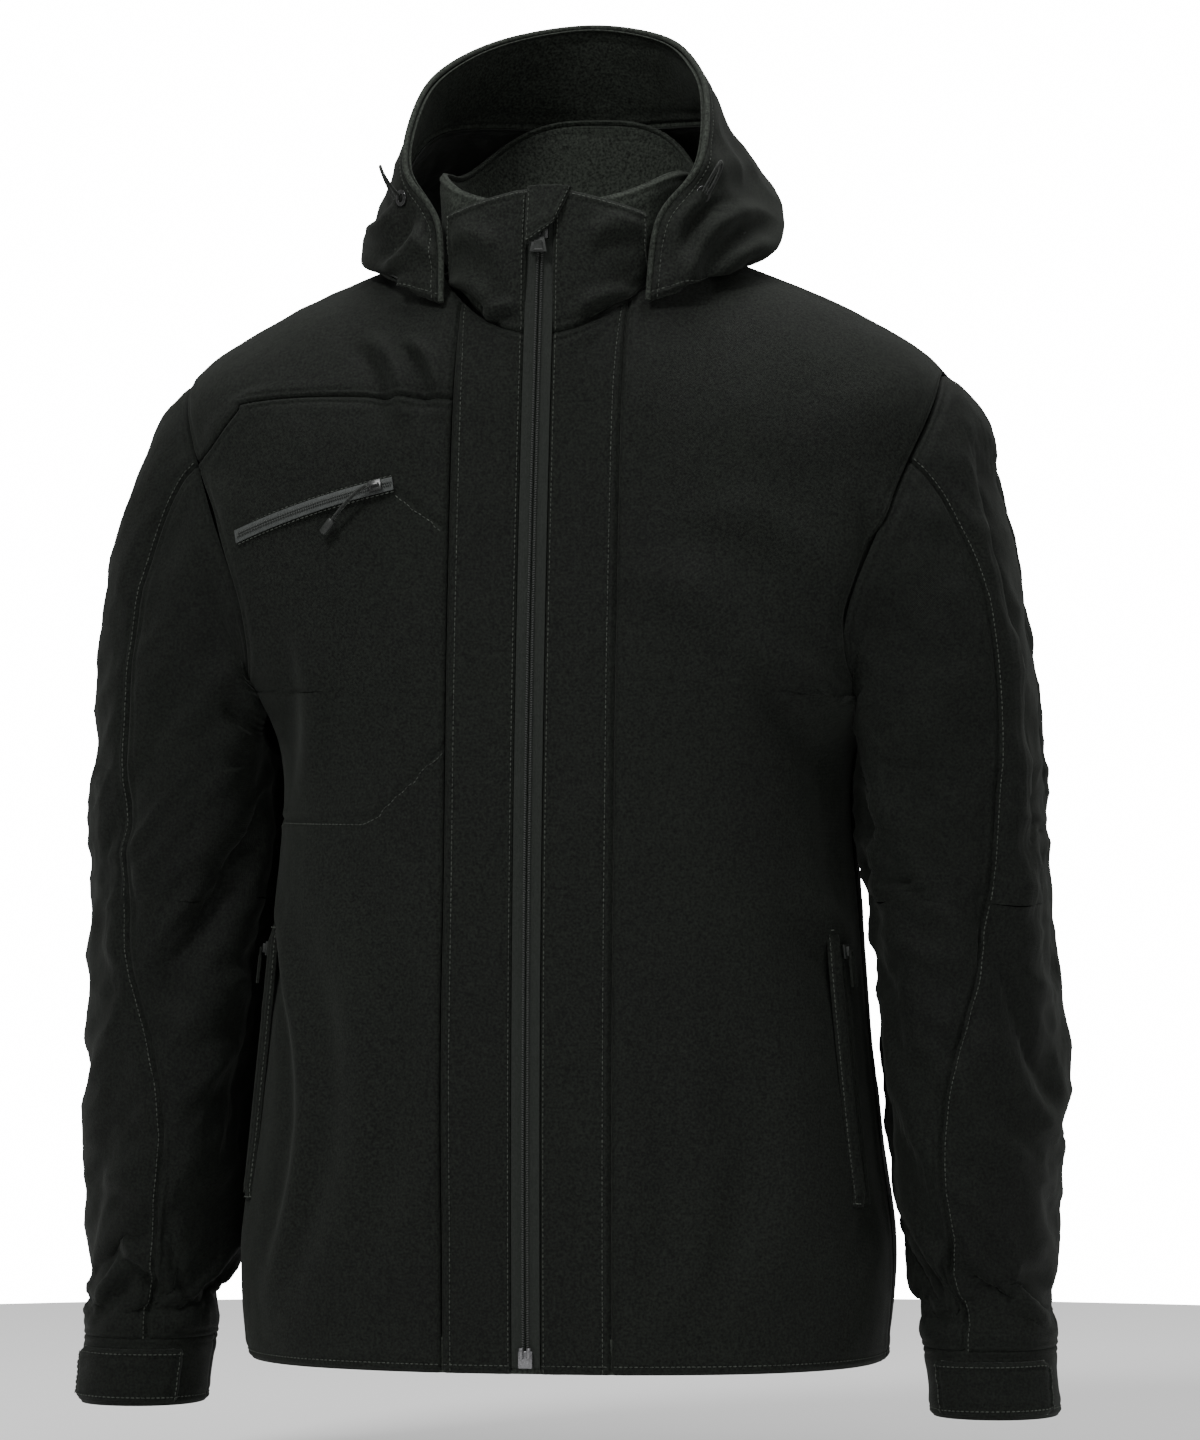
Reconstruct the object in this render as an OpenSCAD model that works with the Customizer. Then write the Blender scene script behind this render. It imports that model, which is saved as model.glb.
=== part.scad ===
// Hooded ski jacket, hanging as if worn, in millimetres.
// X is the wearer's left, -Y the front and Z up. The origin is the centre of the
// neck at the height where the shoulder seams meet it.
// Every layer of cloth is a thick sheet on one smooth surface: surfaces are functions
// of (u, v), and a sheet is an area of a surface between two depths below its face.

/* [Body] */
// Length from the neck point to the hem
body_length = 718; // [600:1:862]
// Width of the hem
hem_w = 414; // [345:1:497]
// Width at the waist
waist_w = 380; // [330:1:440]
// Width at the chest, under the sleeves
chest_w = 372; // [330:1:430]
// Width from shoulder point to shoulder point
shoulder_w = 490; // [440:1:560]
// Drop of the shoulder points below the neck point
shoulder_drop = 82; // [60:1:100]
// Depth of the back behind the origin
back_depth = 138; // [115:1:166]
// Depth of the front ahead of the origin, at its fullest
front_depth = 152; // [130:1:180]
// Radius of the gentle curve of the front from hem to collar
front_radius = 3500; // [2800:10:4500]
// Half of the armhole's width, in degrees around the body
armhole_reach = 38; // [32:1:42]

/* [Neck and collar] */
// Width of the neck opening
neck_w = 168; // [150:1:190]
// Drop of the front of the neck seam
neck_drop = 59; // [50:1:70]
// Rise of the back of the neck seam
neck_rise = 24; // [15:1:35]
// Height of the collar's front edge above the neck seam
collar_front_h = 86; // [70:1:100]
// Height of the collar's back above the neck seam
collar_back_h = 68; // [50:1:80]
// Width of the front part of the collar, from the zip
collar_panel_w = 66; // [55:1:72]

/* [Sleeves] */
// Distance of the upper sleeve's centre from the body's centre
sleeve_x = 254; // [252:1:300]
// Distance of the wrist's centre from the body's centre
wrist_x = 281; // [270:1:320]
// Drop of the end of the sleeve below the neck point
sleeve_end = 750; // [700:1:860]
// Width of the upper sleeve
biceps_w = 122; // [104:1:126]
// Depth of the upper sleeve
biceps_d = 150; // [125:1:165]
// Width of the cuff
cuff_w = 82; // [70:1:98]
// Depth of the cuff
cuff_d = 96; // [80:1:115]
// Height of the cuff band
cuff_h = 42; // [30:1:50]
// Length of the cuff tab
tab_len = 86; // [70:1:95]
// Height of the cuff tab
tab_h = 34; // [25:1:34]

/* [Hood] */
// Height of the top of the hood's rim
hood_top = 153; // [140:1:183]
// Half of the width of the hood's opening
hood_reach = 97; // [92:1:116]
// How far the back of the hood stands behind the origin
hood_back = 172; // [160:1:205]
// Width of the centre strip of the hood
hood_strip = 0.22; // [0.15:0.01:0.3]

/* [Zips] */
// Width of the main zip's tapes together
zip_w = 17; // [14:1:22]
// Width of the main zip's coil
coil_w = 6; // [5:0.5:7]
// Width of each placket beside the main zip
placket_w = 46; // [38:1:52]
// Length of the chest zip
chest_zip_len = 116; // [90:1:125]
// Length of each hand pocket zip
hand_zip_len = 170; // [140:1:190]
// Width of the chest and hand zips
small_zip_w = 9; // [7:1:11]
// Length of the main zip's puller
puller_len = 15; // [14:1:20]

/* [Cloth] */
// Thickness of the shell fabric
shell_t = 1.2; // [0.8:0.1:1.6]
// Thickness of the insulation
wadding_t = 4.4; // [3:0.1:5]
// Thickness of the lining
lining_t = 0.8; // [0.5:0.1:1]
// Clearance between layers and between neighbouring panels
gap = 0.4; // [0.3:0.1:0.5]
// Space that the inner layers loft apart
loft = 1.8; // [1.4:0.1:3]
// Clearance between pieces that move past each other
travel_gap = 0.6; // [0.4:0.1:1]

/* [Hidden] */

// ---- Plain mathematics --------------------------------------------------------------

function mix(a, b, t) = a + (b - a) * t;
function bend(p, q, r, s, t) = 0.5 * (2 * q + (r - p) * t
    + (2 * p - 5 * q + 4 * r - s) * t * t + (3 * q - p - 3 * r + s) * t * t * t);
// A smooth curve through pts, which passes pts[k] at t = k
function smooth(pts, t) = let (last = len(pts) - 1, k = min(max(floor(t), 0), last - 1))
    bend(pts[max(k - 1, 0)], pts[k], pts[k + 1], pts[min(k + 2, last)], t - k);
function signed_pow(x, e) = sign(x) * pow(abs(x), e);
function steps(a, b, n) = [for (i = [0:n]) mix(a, b, i / n)];

// ---- Sheets -------------------------------------------------------------------------

// Outward normal of a surface
function face_normal(skin, u, v, du, dv) = let (
    a = skin(u + du, v) - skin(u - du, v),
    b = skin(u, v + dv) - skin(u, v - dv), n = cross(a, b)) n / norm(n);
// A point at depth d below the face of a surface
function below(skin, u, v, d, du = 0.5, dv = 0.02) =
    skin(u, v) - d * face_normal(skin, u, v, du, dv);

// A sheet over rows of points: outer[j][i] and inner[j][i], rows j going up
module sheet_solid(outer, inner, closed = false) {
    rows = len(outer);
    cols = len(outer[0]);
    wrap = closed ? cols : cols - 1;
    function out(i, j) = j * cols + i % cols;
    function in(i, j) = rows * cols + j * cols + i % cols;
    faces = [
        for (j = [0:rows - 2]) for (i = [0:wrap - 1]) each [
            [out(i, j), out(i, j + 1), out(i + 1, j + 1)],
            [out(i, j), out(i + 1, j + 1), out(i + 1, j)],
            [in(i, j), in(i + 1, j + 1), in(i, j + 1)],
            [in(i, j), in(i + 1, j), in(i + 1, j + 1)]],
        for (i = [0:wrap - 1]) each [
            [out(i, 0), out(i + 1, 0), in(i + 1, 0)],
            [out(i, 0), in(i + 1, 0), in(i, 0)],
            [out(i + 1, rows - 1), out(i, rows - 1), in(i, rows - 1)],
            [out(i + 1, rows - 1), in(i, rows - 1), in(i + 1, rows - 1)]],
        if (!closed) for (j = [0:rows - 2]) each [
            [out(0, j + 1), out(0, j), in(0, j)],
            [out(0, j + 1), in(0, j), in(0, j + 1)],
            [out(cols - 1, j), out(cols - 1, j + 1), in(cols - 1, j + 1)],
            [out(cols - 1, j), in(cols - 1, j + 1), in(cols - 1, j)]]];
    polyhedron(points = [each [for (row = outer) each row], each [for (row = inner) each row]],
        faces = faces, convexity = 10);
}

// Children on both sides of the body's centre plane
module both_sides() for (side = [0, 1]) mirror([side, 0, 0]) children();

// A sheet on a surface, between the edges left(v) and right(v), over the rows v_rows,
// from depth d0 to the greater depth d1 below the face
module sheet(skin, left, right, v_rows, n, d0, d1, du = 0.5) {
    function row(v, d) = [for (i = [0:n])
        below(skin, mix(left(v), right(v), i / n), v, d, du)];
    sheet_solid([for (v = v_rows) row(v, d0)], [for (v = v_rows) row(v, d1)]);
}

// A closed sleeve of cloth on a surface that goes once round u from 0 to 360
module ring_sheet(skin, v_rows, n, d0, d1) {
    function row(v, d) = [for (i = [0:n - 1]) below(skin, 360 * i / n, v, -d)];
    sheet_solid([for (v = v_rows) row(v, d1)], [for (v = v_rows) row(v, d0)], true);
}

// ---- The body's surface -------------------------------------------------------------

front_z = -body_length * 0.835;
front_axis_y = front_radius - front_depth;
// Depth of the front on its arc at height z
function front_y(z) = front_axis_y - sqrt(front_radius * front_radius - pow(z - front_z, 2));

// Stations from hem to neck: half width, back depth, squareness, and the heights of the
// ring at its sides, front and back
shoulder_x = shoulder_w / 2;
BODY = [
    [hem_w / 2, back_depth, 2.5, -body_length, -body_length, -body_length],
    [hem_w / 2 + 5, back_depth, 2.5, -body_length * 0.905, -body_length * 0.905, -body_length * 0.905],
    [mix(hem_w, waist_w, 0.3) / 2, back_depth - 2, 2.5, -body_length * 0.78,
        -body_length * 0.78, -body_length * 0.78],
    [waist_w / 2, back_depth - 5, 2.5, -body_length * 0.607, -body_length * 0.607,
        -body_length * 0.607],
    [chest_w / 2, back_depth - 6, 2.6, -body_length * 0.46, -body_length * 0.46,
        -body_length * 0.46],
    [mix(chest_w / 2, shoulder_x, 0.55), back_depth - 4, 3, -body_length * 0.365,
        -body_length * 0.365, -body_length * 0.365],
    [shoulder_x - 2, back_depth - 2, 3, -body_length * 0.28, -body_length * 0.285,
        -body_length * 0.27],
    [shoulder_x + 5, back_depth - 3, 2.8, -shoulder_drop - 58, -shoulder_drop - 86,
        -shoulder_drop - 44],
    [shoulder_x, back_depth - 9, 2.6, -shoulder_drop, -shoulder_drop - 50, -shoulder_drop + 14],
    [mix(neck_w / 2, shoulder_x, 0.66), back_depth - 16, 2.4, -shoulder_drop * 0.53,
        -neck_drop - 46, -shoulder_drop * 0.43],
    [mix(neck_w / 2, shoulder_x, 0.29), back_depth - 28, 2.2, -shoulder_drop * 0.21,
        -neck_drop - 22, -2],
    [neck_w / 2, back_depth - 42, 2.1, -2, -neck_drop, neck_rise]];
NECK = len(BODY) - 1;
UNDERARM = 4.6;
SHOULDER = 8;
body_surface = function(u, v) let (
    s = smooth(BODY, v), e = 2 / s[2], c = cos(u), w = c * c,
    z = s[3] + w * ((c > 0 ? s[4] : s[5]) - s[3]),
    y = c > 0 ? front_y(s[4]) * pow(c, e) : s[1] * pow(-c, e))
    [s[0] * signed_pow(sin(u), e), y, z];

// Angle at which the body's surface is x millimetres from its centre plane
function angle_of(x, v) = let (s = smooth(BODY, v)) asin(pow(x / s[0], s[2] / 2));
// Half of the armhole's opening at v
function armhole(v) = v <= UNDERARM || v >= SHOULDER ? 0 : let (
    s = (v - UNDERARM) / (SHOULDER - UNDERARM))
    armhole_reach * pow(sin(180 * pow(s, 0.6)), 0.6);

BODY_ROWS = [0, 1, 2, 3, 4, 4.6, 4.72, 5, 5.5, 6, 6.5, 7, 7.5, 7.85, 8, 8.5, 9, 9.5, 10, 10.5, 11];
FRONT_COLS = 9;
BACK_COLS = 16;
seam = gap / 2;
tape_edge = zip_w / 2;
placket_edge = tape_edge + placket_w;
side_gap = 0.1;

// Edges of the panels, as angles around the body
function side_edge(v) = 90 - armhole(v) - side_gap;
function placket_out(v) = angle_of(placket_edge - seam, v);

module placket_sheet(d0, d1)
    sheet(body_surface, function(v) angle_of(tape_edge + gap, v),
        function(v) placket_out(v), BODY_ROWS, 3, d0, d1, 0.2);

module placket_left() color("#1b1d1a") placket_sheet(0, shell_t);
module placket_right() color("#1b1d1a") mirror([1, 0, 0]) placket_sheet(0, shell_t);

module front_panel_left() color("#1b1d1a")
    sheet(body_surface, function(v) angle_of(placket_edge + seam, v),
        function(v) side_edge(v), BODY_ROWS, FRONT_COLS, 0, shell_t);

// The right front is in two pieces: the yoke's seam runs from the placket to the armhole
seam_in = 9.05;
seam_out = 7.1;
seam_start = 5;
function yoke_seam(p) = mix(seam_in, seam_out, p) + 0.12 * sin(360 * p);
function front_point(p, v) = body_surface(mix(angle_of(placket_edge + seam, v), side_edge(v), p), v);
lower_front = function(p, r) front_point(p, r <= seam_start ? r
    : mix(seam_start, yoke_seam(p) - 0.006, (r - seam_start) / 2));
yoke_front = function(p, r) front_point(p, mix(yoke_seam(p) + 0.006, NECK, r));
zero = function(v) 0;
one = function(v) 1;

module front_panel_right() color("#1b1d1a") mirror([1, 0, 0])
    sheet(lower_front, zero, one, [0, 1, 2, 3, 4, 4.6, 4.72, 5, 5.5, 6, 6.5, 7],
        FRONT_COLS, 0, shell_t, 0.01);
module chest_yoke_right() color("#1c1e1b") mirror([1, 0, 0])
    sheet(yoke_front, zero, one, steps(0, 1, 8), FRONT_COLS, 0, shell_t, 0.01);

module back_panel() color("#171916")
    sheet(body_surface, function(v) 90 + armhole(v) + side_gap,
        function(v) 270 - armhole(v) - side_gap, BODY_ROWS, BACK_COLS, 0, shell_t);

// Layers under the shell go round the body from one side of the zip to the other
wadding_in = shell_t + loft;
wadding_out = wadding_in + wadding_t;
bag_t = 1;
bag_in = wadding_out + loft;
lining_in = bag_in + bag_t + loft;
flap_half = 24;
flap_t = 1.2;

// A layer of each panel, from depth d0 to d1 below the face, in the panel's own strips
module front_strip(edge, d0, d1) sheet(body_surface, function(v) angle_of(edge, v),
    function(v) placket_out(v), BODY_ROWS, 2, d0, d1);
module front_layer(d0, d1) sheet(body_surface, function(v) angle_of(placket_edge + seam, v),
    function(v) side_edge(v), BODY_ROWS, FRONT_COLS, d0, d1);
module lower_layer(d0, d1) sheet(lower_front, zero, one,
    [0, 1, 2, 3, 4, 4.6, 4.72, 5, 5.5, 6, 6.5, 7], FRONT_COLS, d0, d1, 0.01);
module yoke_layer(d0, d1)
    sheet(yoke_front, zero, one, steps(0, 1, 8), FRONT_COLS, d0, d1, 0.01);
module back_layer(d0, d1) sheet(body_surface, function(v) 90 + armhole(v) + side_gap,
    function(v) 270 - armhole(v) - side_gap, BODY_ROWS, BACK_COLS, d0, d1);

// The insulation is cut in one piece for each shell panel that it backs
module insulation_back() color("#5c5f5a") back_layer(wadding_in, wadding_out);
module insulation_left() color("#5c5f5a") {
    front_strip(flap_half + 2, wadding_in, wadding_out);
    front_layer(wadding_in, wadding_out);
}
module insulation_right() color("#5c5f5a") mirror([1, 0, 0]) {
    front_strip(flap_half + 2, wadding_in, wadding_out);
    lower_layer(wadding_in, wadding_out);
    yoke_layer(wadding_in, wadding_out);
}
module layer(edge, d0, d1) {
    both_sides() {
        front_strip(edge, d0, d1);
        front_layer(d0, d1);
    }
    back_layer(d0, d1);
}
module body_lining() color("#141613") layer(tape_edge + gap, lining_in, lining_in + lining_t);
module storm_flap() color("#1b1d1a") sheet(body_surface,
    function(v) -angle_of(flap_half, v), function(v) angle_of(flap_half, v),
    BODY_ROWS, 4, shell_t + gap * 2, shell_t + gap * 2 + flap_t);

// ---- Pieces on the front arc --------------------------------------------------------

hem_z = -body_length;
collar_top_z = -neck_drop + collar_front_h;
function arc_angle(z) = asin((z - front_z) / front_radius);
// A bar that follows the front's arc between two heights, from depth d0 to d1, x0 to x1
module arc_bar(z_low, z_high, d0, d1, x0, x1)
    translate([0, front_axis_y, front_z])
    rotate([-90 - arc_angle(z_high), 0, 0])
    rotate([0, 90, 0])
    rotate_extrude(angle = arc_angle(z_high) - arc_angle(z_low), $fn = 720)
    translate([front_radius - d1, x0])
    square([d1 - d0, x1 - x0]);
// Places children on the arc at height z: their -Y points out of the front
module on_arc(z) translate([0, front_axis_y, front_z]) rotate([-arc_angle(z), 0, 0])
    translate([0, -front_radius, 0]) children();

tape_t = 0.9;
coil_t = 2;
zip_low = hem_z + 4;
zip_high = collar_top_z - 4;
box_h = 11;
coil_low = zip_low + box_h + gap;
stop_h = 4;
coil_high = zip_high - stop_h - gap;
coil_front = -coil_t - 0.1;

module main_zip_tape_left() color("#26282a")
    arc_bar(zip_low, zip_high, 0, tape_t, gap / 4, tape_edge);
module main_zip_tape_right() color("#26282a") mirror([1, 0, 0])
    arc_bar(zip_low, zip_high, 0, tape_t, gap / 4, tape_edge);
// The coil carries its two top stops, one on each half
module main_zip_coil() color("#2a2c2a") {
    arc_bar(coil_low, coil_high, coil_front, -0.1, -coil_w / 2, coil_w / 2);
    for (side = [-1, 1]) on_arc(zip_high - stop_h / 2)
        translate([side * coil_w / 3 - 1, coil_front, -stop_h / 2])
        cube([2, coil_t, stop_h]);
}
module zip_retainer_box() color("#77787a") on_arc(zip_low + box_h / 2)
    translate([-coil_w / 2 - 1.5, coil_front - 0.6, -box_h / 2])
    cube([coil_w + 3, coil_t + 0.6, box_h]);
slider_h = 11;
slider_w = coil_w + 4.4;
slider_t = 1.6;
slider_z = coil_high - slider_h / 2 - 6.6;
slider_back = coil_front - travel_gap;
// The slider is a plate with two side flanges, which run beside the coil
module main_zip_slider() color("#1d1f1e") on_arc(slider_z) {
    translate([-slider_w / 2, slider_back - slider_t, -slider_h / 2])
        cube([slider_w, slider_t, slider_h]);
    for (side = [-1, 1]) translate([side * (slider_w / 2 - 0.7) - 0.7,
        slider_back - 0.1, -slider_h / 2]) cube([1.4, 1.8, slider_h]);
    translate([-1.2, slider_back - slider_t - 3.2, -slider_h / 2 + 1]) difference() {
        cube([2.4, 3.3, slider_h - 2]);
        translate([-1, 1.2, (slider_h - 2) / 2]) rotate([0, 90, 0])
            cylinder(d = 2, h = 5, $fn = 24);
    }
}
puller_t = 2.2;
puller_w = 11;
puller_pin_y = slider_back - slider_t - 2;
// The puller is a moulded trapezoid on a pin through the slider's bridge
module main_zip_puller() color("#161816") on_arc(slider_z) translate([0, puller_pin_y, 0]) {
    translate([-3.6, 0, 0]) rotate([0, 90, 0]) cylinder(d = 1.4, h = 7.2, $fn = 24);
    for (side = [-1, 1]) translate([side * 2.9 - 0.7, -0.7, -5.5]) cube([1.4, 1.4, 5.5]);
    translate([0, 0.6, 0]) rotate([90, 0, 0]) linear_extrude(puller_t)
        polygon([[-3.6, -5.2], [3.6, -5.2], [puller_w / 2, -puller_len],
            [-puller_w / 2, -puller_len]]);
}

// The garage is a folded tab at the collar's top that covers the closed slider's head
garage_h = 14;
garage_w = 30;
garage_front = slider_back - slider_t - 4;
module zip_garage() color("#1b1d1a") on_arc(collar_top_z - garage_h / 2 - 2)
    translate([-garage_w / 2, garage_front - 1.4, -garage_h / 2]) {
        cube([garage_w, 1.4, garage_h]);
        translate([0, 0, garage_h - 1.4]) cube([garage_w, 1 - garage_front, 1.4]);
    }

// ---- Collar -------------------------------------------------------------------------

// Rings of the collar from the neck seam to its top: half width, heights at the sides,
// front and back, back depth and squareness
COLLAR = [
    [neck_w / 2, 0, -neck_drop + 1, neck_rise + 1, back_depth - 43, 2.1],
    [neck_w / 2 - 1, mix(0, 50, 0.5), mix(-neck_drop, collar_top_z, 0.5),
        neck_rise + collar_back_h / 2, back_depth - 42, 2.6],
    [neck_w / 2, 50, collar_top_z, neck_rise + collar_back_h, back_depth - 43, 2.8]];
collar_surface = function(u, v) let (
    s = smooth(COLLAR, v), e = 2 / s[5], c = cos(u), w = c * c,
    z = s[1] + w * ((c > 0 ? s[2] : s[3]) - s[1]),
    y = c > 0 ? front_y(s[2]) * pow(c, e) : s[4] * pow(-c, e))
    [s[0] * signed_pow(sin(u), e), y, z];
function collar_angle(x, v) = let (s = smooth(COLLAR, v)) asin(pow(x / s[0], s[5] / 2));
collar_rows = steps(0.03, 2, 4);

module collar_half() sheet(collar_surface, function(v) collar_angle(tape_edge + gap, v),
    function(v) collar_angle(collar_panel_w, v), collar_rows, 5, 0, shell_t, 0.2);
module collar_left() color("#1f221f") collar_half();
module collar_right() color("#1f221f") mirror([1, 0, 0]) collar_half();
// The collar's lining side runs round the neck from one side of the zip to the other
module collar_inner() color("#0f120f")
    sheet(collar_surface, function(v) collar_angle(flap_half + 2, v),
        function(v) 360 - collar_angle(flap_half + 2, v), steps(0.1, 1.97, 4), 20,
        wadding_in, wadding_in + wadding_t);

loop_w = 62;
// The hanger loop is a flat tape, sewn at both ends to the collar's back
module hanger_loop() color("#161816") translate([0, back_depth - 60, neck_rise + 4]) {
    for (side = [-1, 1]) translate([side * (loop_w / 2 - 4) - 4, -1.6, -6])
        cube([8, 4.4, 12]);
    translate([-loop_w / 2, -3, -3]) cube([loop_w, 1.2, 6]);
}

// ---- Hood ---------------------------------------------------------------------------

// Four arches from the rim to the neck seam, each from its foot to its crown
reach = hood_reach;
HOOD = [
    [[68, -90, -38], [73, -78, 14], [reach, -64, 50], [reach, -32, 92], [reach * 0.87, 0, 120],
        [reach * 0.55, 52, hood_top - 10], [0, 76, hood_top]],
    [[88, -84, -30], [108, -62, 0], [reach * 1.18, -32, 34], [reach * 1.1, 6, 68],
        [reach * 0.95, 52, 86], [reach * 0.55, 98, 90], [0, 113, 88]],
    [[103, -66, -20], [reach * 1.36, -28, -8], [reach * 1.4, 22, 14],
        [reach * 1.27, 68, 40], [reach, hood_back - 62, 50], [reach * 0.58, hood_back - 26, 48],
        [0, hood_back - 12, 46]],
    [[100, -54, -10], [108, -22, -4], [108, 12, 4], [96, 52, 14],
        [70, 84, 24], [36, 102, 30], [0, 108, 33]]];
HOOD_TOP = 6;
// Each arch goes over the crown to its other foot
ARCHES = [for (arch = HOOD) concat([for (p = arch) [-p[0], p[1], p[2]]],
    [for (i = [HOOD_TOP - 1:-1:0]) arch[i]])];
hood_surface = function(u, v) smooth([for (arch = ARCHES) smooth(arch, u)], v);
strip = HOOD_TOP * hood_strip;
hood_rows = steps(0, 3, 9);
hood_lining_in = shell_t + loft;
function at(x) = function(v) x;

module hood_centre() color("#191b18") sheet(hood_surface, at(HOOD_TOP - strip),
    at(HOOD_TOP + strip), hood_rows, 4, 0, shell_t, 0.02);
module hood_side_left() color("#191b18") sheet(hood_surface,
    at(HOOD_TOP + strip + 0.01), at(2 * HOOD_TOP), hood_rows, 9, 0, shell_t, 0.02);
module hood_side_right() color("#191b18") sheet(hood_surface, at(0),
    at(HOOD_TOP - strip - 0.01), hood_rows, 9, 0, shell_t, 0.02);
facing_end = 1;
// A layer of the hood, in the same three strips as the shell over it
module hood_layer(rows) {
    sheet(hood_surface, at(HOOD_TOP - strip), at(HOOD_TOP + strip), rows, 4, hood_lining_in,
        hood_lining_in + lining_t, 0.02);
    sheet(hood_surface, at(HOOD_TOP + strip + 0.01), at(2 * HOOD_TOP), rows, 9,
        hood_lining_in, hood_lining_in + lining_t, 0.02);
    sheet(hood_surface, at(0), at(HOOD_TOP - strip - 0.01), rows, 9, hood_lining_in,
        hood_lining_in + lining_t, 0.02);
}
module hood_facing() color("#131612") hood_layer([0, 1 / 3, 2 / 3, facing_end - 0.01]);
module hood_lining() color("#0e100d")
    hood_layer(concat([facing_end + 0.01], steps(4 / 3, 8 / 3, 4), [2.92]));

// Each eyelet is a ring seated on the hood's side, just behind the rim
eyelet_u = 1.62;
eyelet_v = 0.42;
eyelet_d = 11;
eyelet_seat = hood_surface(2 * HOOD_TOP - eyelet_u, eyelet_v);
eyelet_out = face_normal(hood_surface, 2 * HOOD_TOP - eyelet_u, eyelet_v, 0.02, 0.02);
// Turns +Z to the direction d
module aim(d) rotate([0, acos(d[2] / norm(d)), atan2(d[1], d[0])]) children();
module hood_eyelets() color("#0a0b0a") both_sides() translate(eyelet_seat + 0.5 * eyelet_out)
    aim(eyelet_out) difference() {
        cylinder(d = eyelet_d, h = 1.8, $fn = 32);
        translate([0, 0, -1]) cylinder(d = 5.4, h = 4, $fn = 32);
    }

// ---- Cords --------------------------------------------------------------------------

CORD_SIDES = 8;
// A round tube swept along a route of points
module cord(route, d, rings) {
    last = len(route) - 1;
    function spot(t) = smooth(route, t * last);
    function ahead(t) = let (a = spot(min(t + 0.01, 1)) - spot(max(t - 0.01, 0))) a / norm(a);
    ref = [0.31, 0.22, 0.92];
    function ring(t) = let (a = ahead(t), n = cross(a, ref), x = n / norm(n), y = cross(a, x))
        [for (k = [0:CORD_SIDES - 1]) spot(t) + d / 2 * (cos(360 * k / CORD_SIDES) * x
            + sin(360 * k / CORD_SIDES) * y)];
    pts = [for (t = steps(0, 1, rings)) each ring(t)];
    faces = [
        for (j = [0:rings - 1]) for (k = [0:CORD_SIDES - 1]) let (
            a = j * CORD_SIDES + k, b = j * CORD_SIDES + (k + 1) % CORD_SIDES) each [
            [a, a + CORD_SIDES, b], [b, a + CORD_SIDES, b + CORD_SIDES]],
        [for (k = [0:CORD_SIDES - 1]) k],
        [for (k = [CORD_SIDES - 1:-1:0]) rings * CORD_SIDES + k]];
    polyhedron(points = pts, faces = faces, convexity = 6);
}

// Routes of the cords, from where each leaves its eyelet or slider
HOOD_CORD = [[99.6, -66.5, 32.9], [101.6, -69.5, 35.5], [105.6, -72.5, 41.5], [109.1, -72.5, 47.5],
    [111.1, -69.5, 51.5], [111.1, -66.5, 49], [108.6, -66, 42.5], [105.1, -66.5, 35.5], [102.2, -66.5, 30.5]];
hood_cord_d = 2.2;
module hood_cord_left() color("#0a0b0a") cord(HOOD_CORD, hood_cord_d, 14);
module hood_cord_right() color("#0a0b0a") mirror([1, 0, 0]) cord(HOOD_CORD, hood_cord_d, 14);

// ---- Small zips ---------------------------------------------------------------------

// A frame has an origin and three axes: x along, y across and z out of the cloth
module in_frame(o, x, y, z) multmatrix([[x[0], y[0], z[0], o[0]], [x[1], y[1], z[1], o[1]],
    [x[2], y[2], z[2], o[2]], [0, 0, 0, 1]]) children();
function unit(v) = v / norm(v);

// The chest zip follows the circle through three spots on the right chest
chest_proud = 2.2;
chest_angles = [[14.5, 7.3], [29.5, 6.76], [49, 6.24]];
chest_spots = [for (a = chest_angles) let (p = below(body_surface, a[0], a[1], -chest_proud))
    [-p[0], p[1], p[2]]];
chest_a = chest_spots[0] - chest_spots[1];
chest_b = chest_spots[2] - chest_spots[1];
chest_n = cross(chest_a, chest_b);
chest_centre = chest_spots[1] + cross((chest_a * chest_a) * chest_b
    - (chest_b * chest_b) * chest_a, chest_n) / (2 * chest_n * chest_n);
chest_r = norm(chest_spots[1] - chest_centre);
chest_axis = -unit(chest_n);
chest_sweep = chest_zip_len / chest_r * 180 / PI;
chest_x = unit(chest_spots[0] - chest_centre);
chest_y = cross(chest_axis, chest_x);
// Places children on the chest circle: x points out, z along its axis, turned by a
module on_chest(a) in_frame(chest_centre, chest_x, chest_y, chest_axis)
    rotate([0, 0, a]) children();
// A bar round the chest circle, between two angles, over r0 to r1 and w to each side
module chest_bar(a0, a1, r0, r1, w) on_chest(a0) rotate_extrude(angle = a1 - a0, $fn = 360)
    translate([chest_r + r0, -w / 2]) square([r1 - r0, w]);

small_coil_w = 4;
small_coil_t = 1.4;
small_slider_l = 9;
small_slider_w = 7.5;
small_slider_t = 1.3;
module chest_zip_tape() color("#292b29") chest_bar(0, chest_sweep, -0.2, 0.6, small_zip_w);
module chest_zip_coil() color("#333533")
    chest_bar(1, chest_sweep - 1, 0.6 + gap / 4, 0.6 + small_coil_t, small_coil_w);
small_top = 0.6 + small_coil_t + travel_gap;
slider_turn = 2.4;
module small_slider() {
    translate([0, 0, small_slider_t / 2])
        cube([small_slider_l, small_slider_w, small_slider_t], center = true);
    translate([0, 0, small_slider_t + 0.9]) cube([small_slider_l - 3, 1.8, 1.9], center = true);
}
module chest_zip_slider() color("#1a1c1a") on_chest(slider_turn)
    translate([chest_r + small_top, 0, 0]) rotate([0, 90, 0]) rotate([0, 0, 90])
    small_slider();

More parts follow.
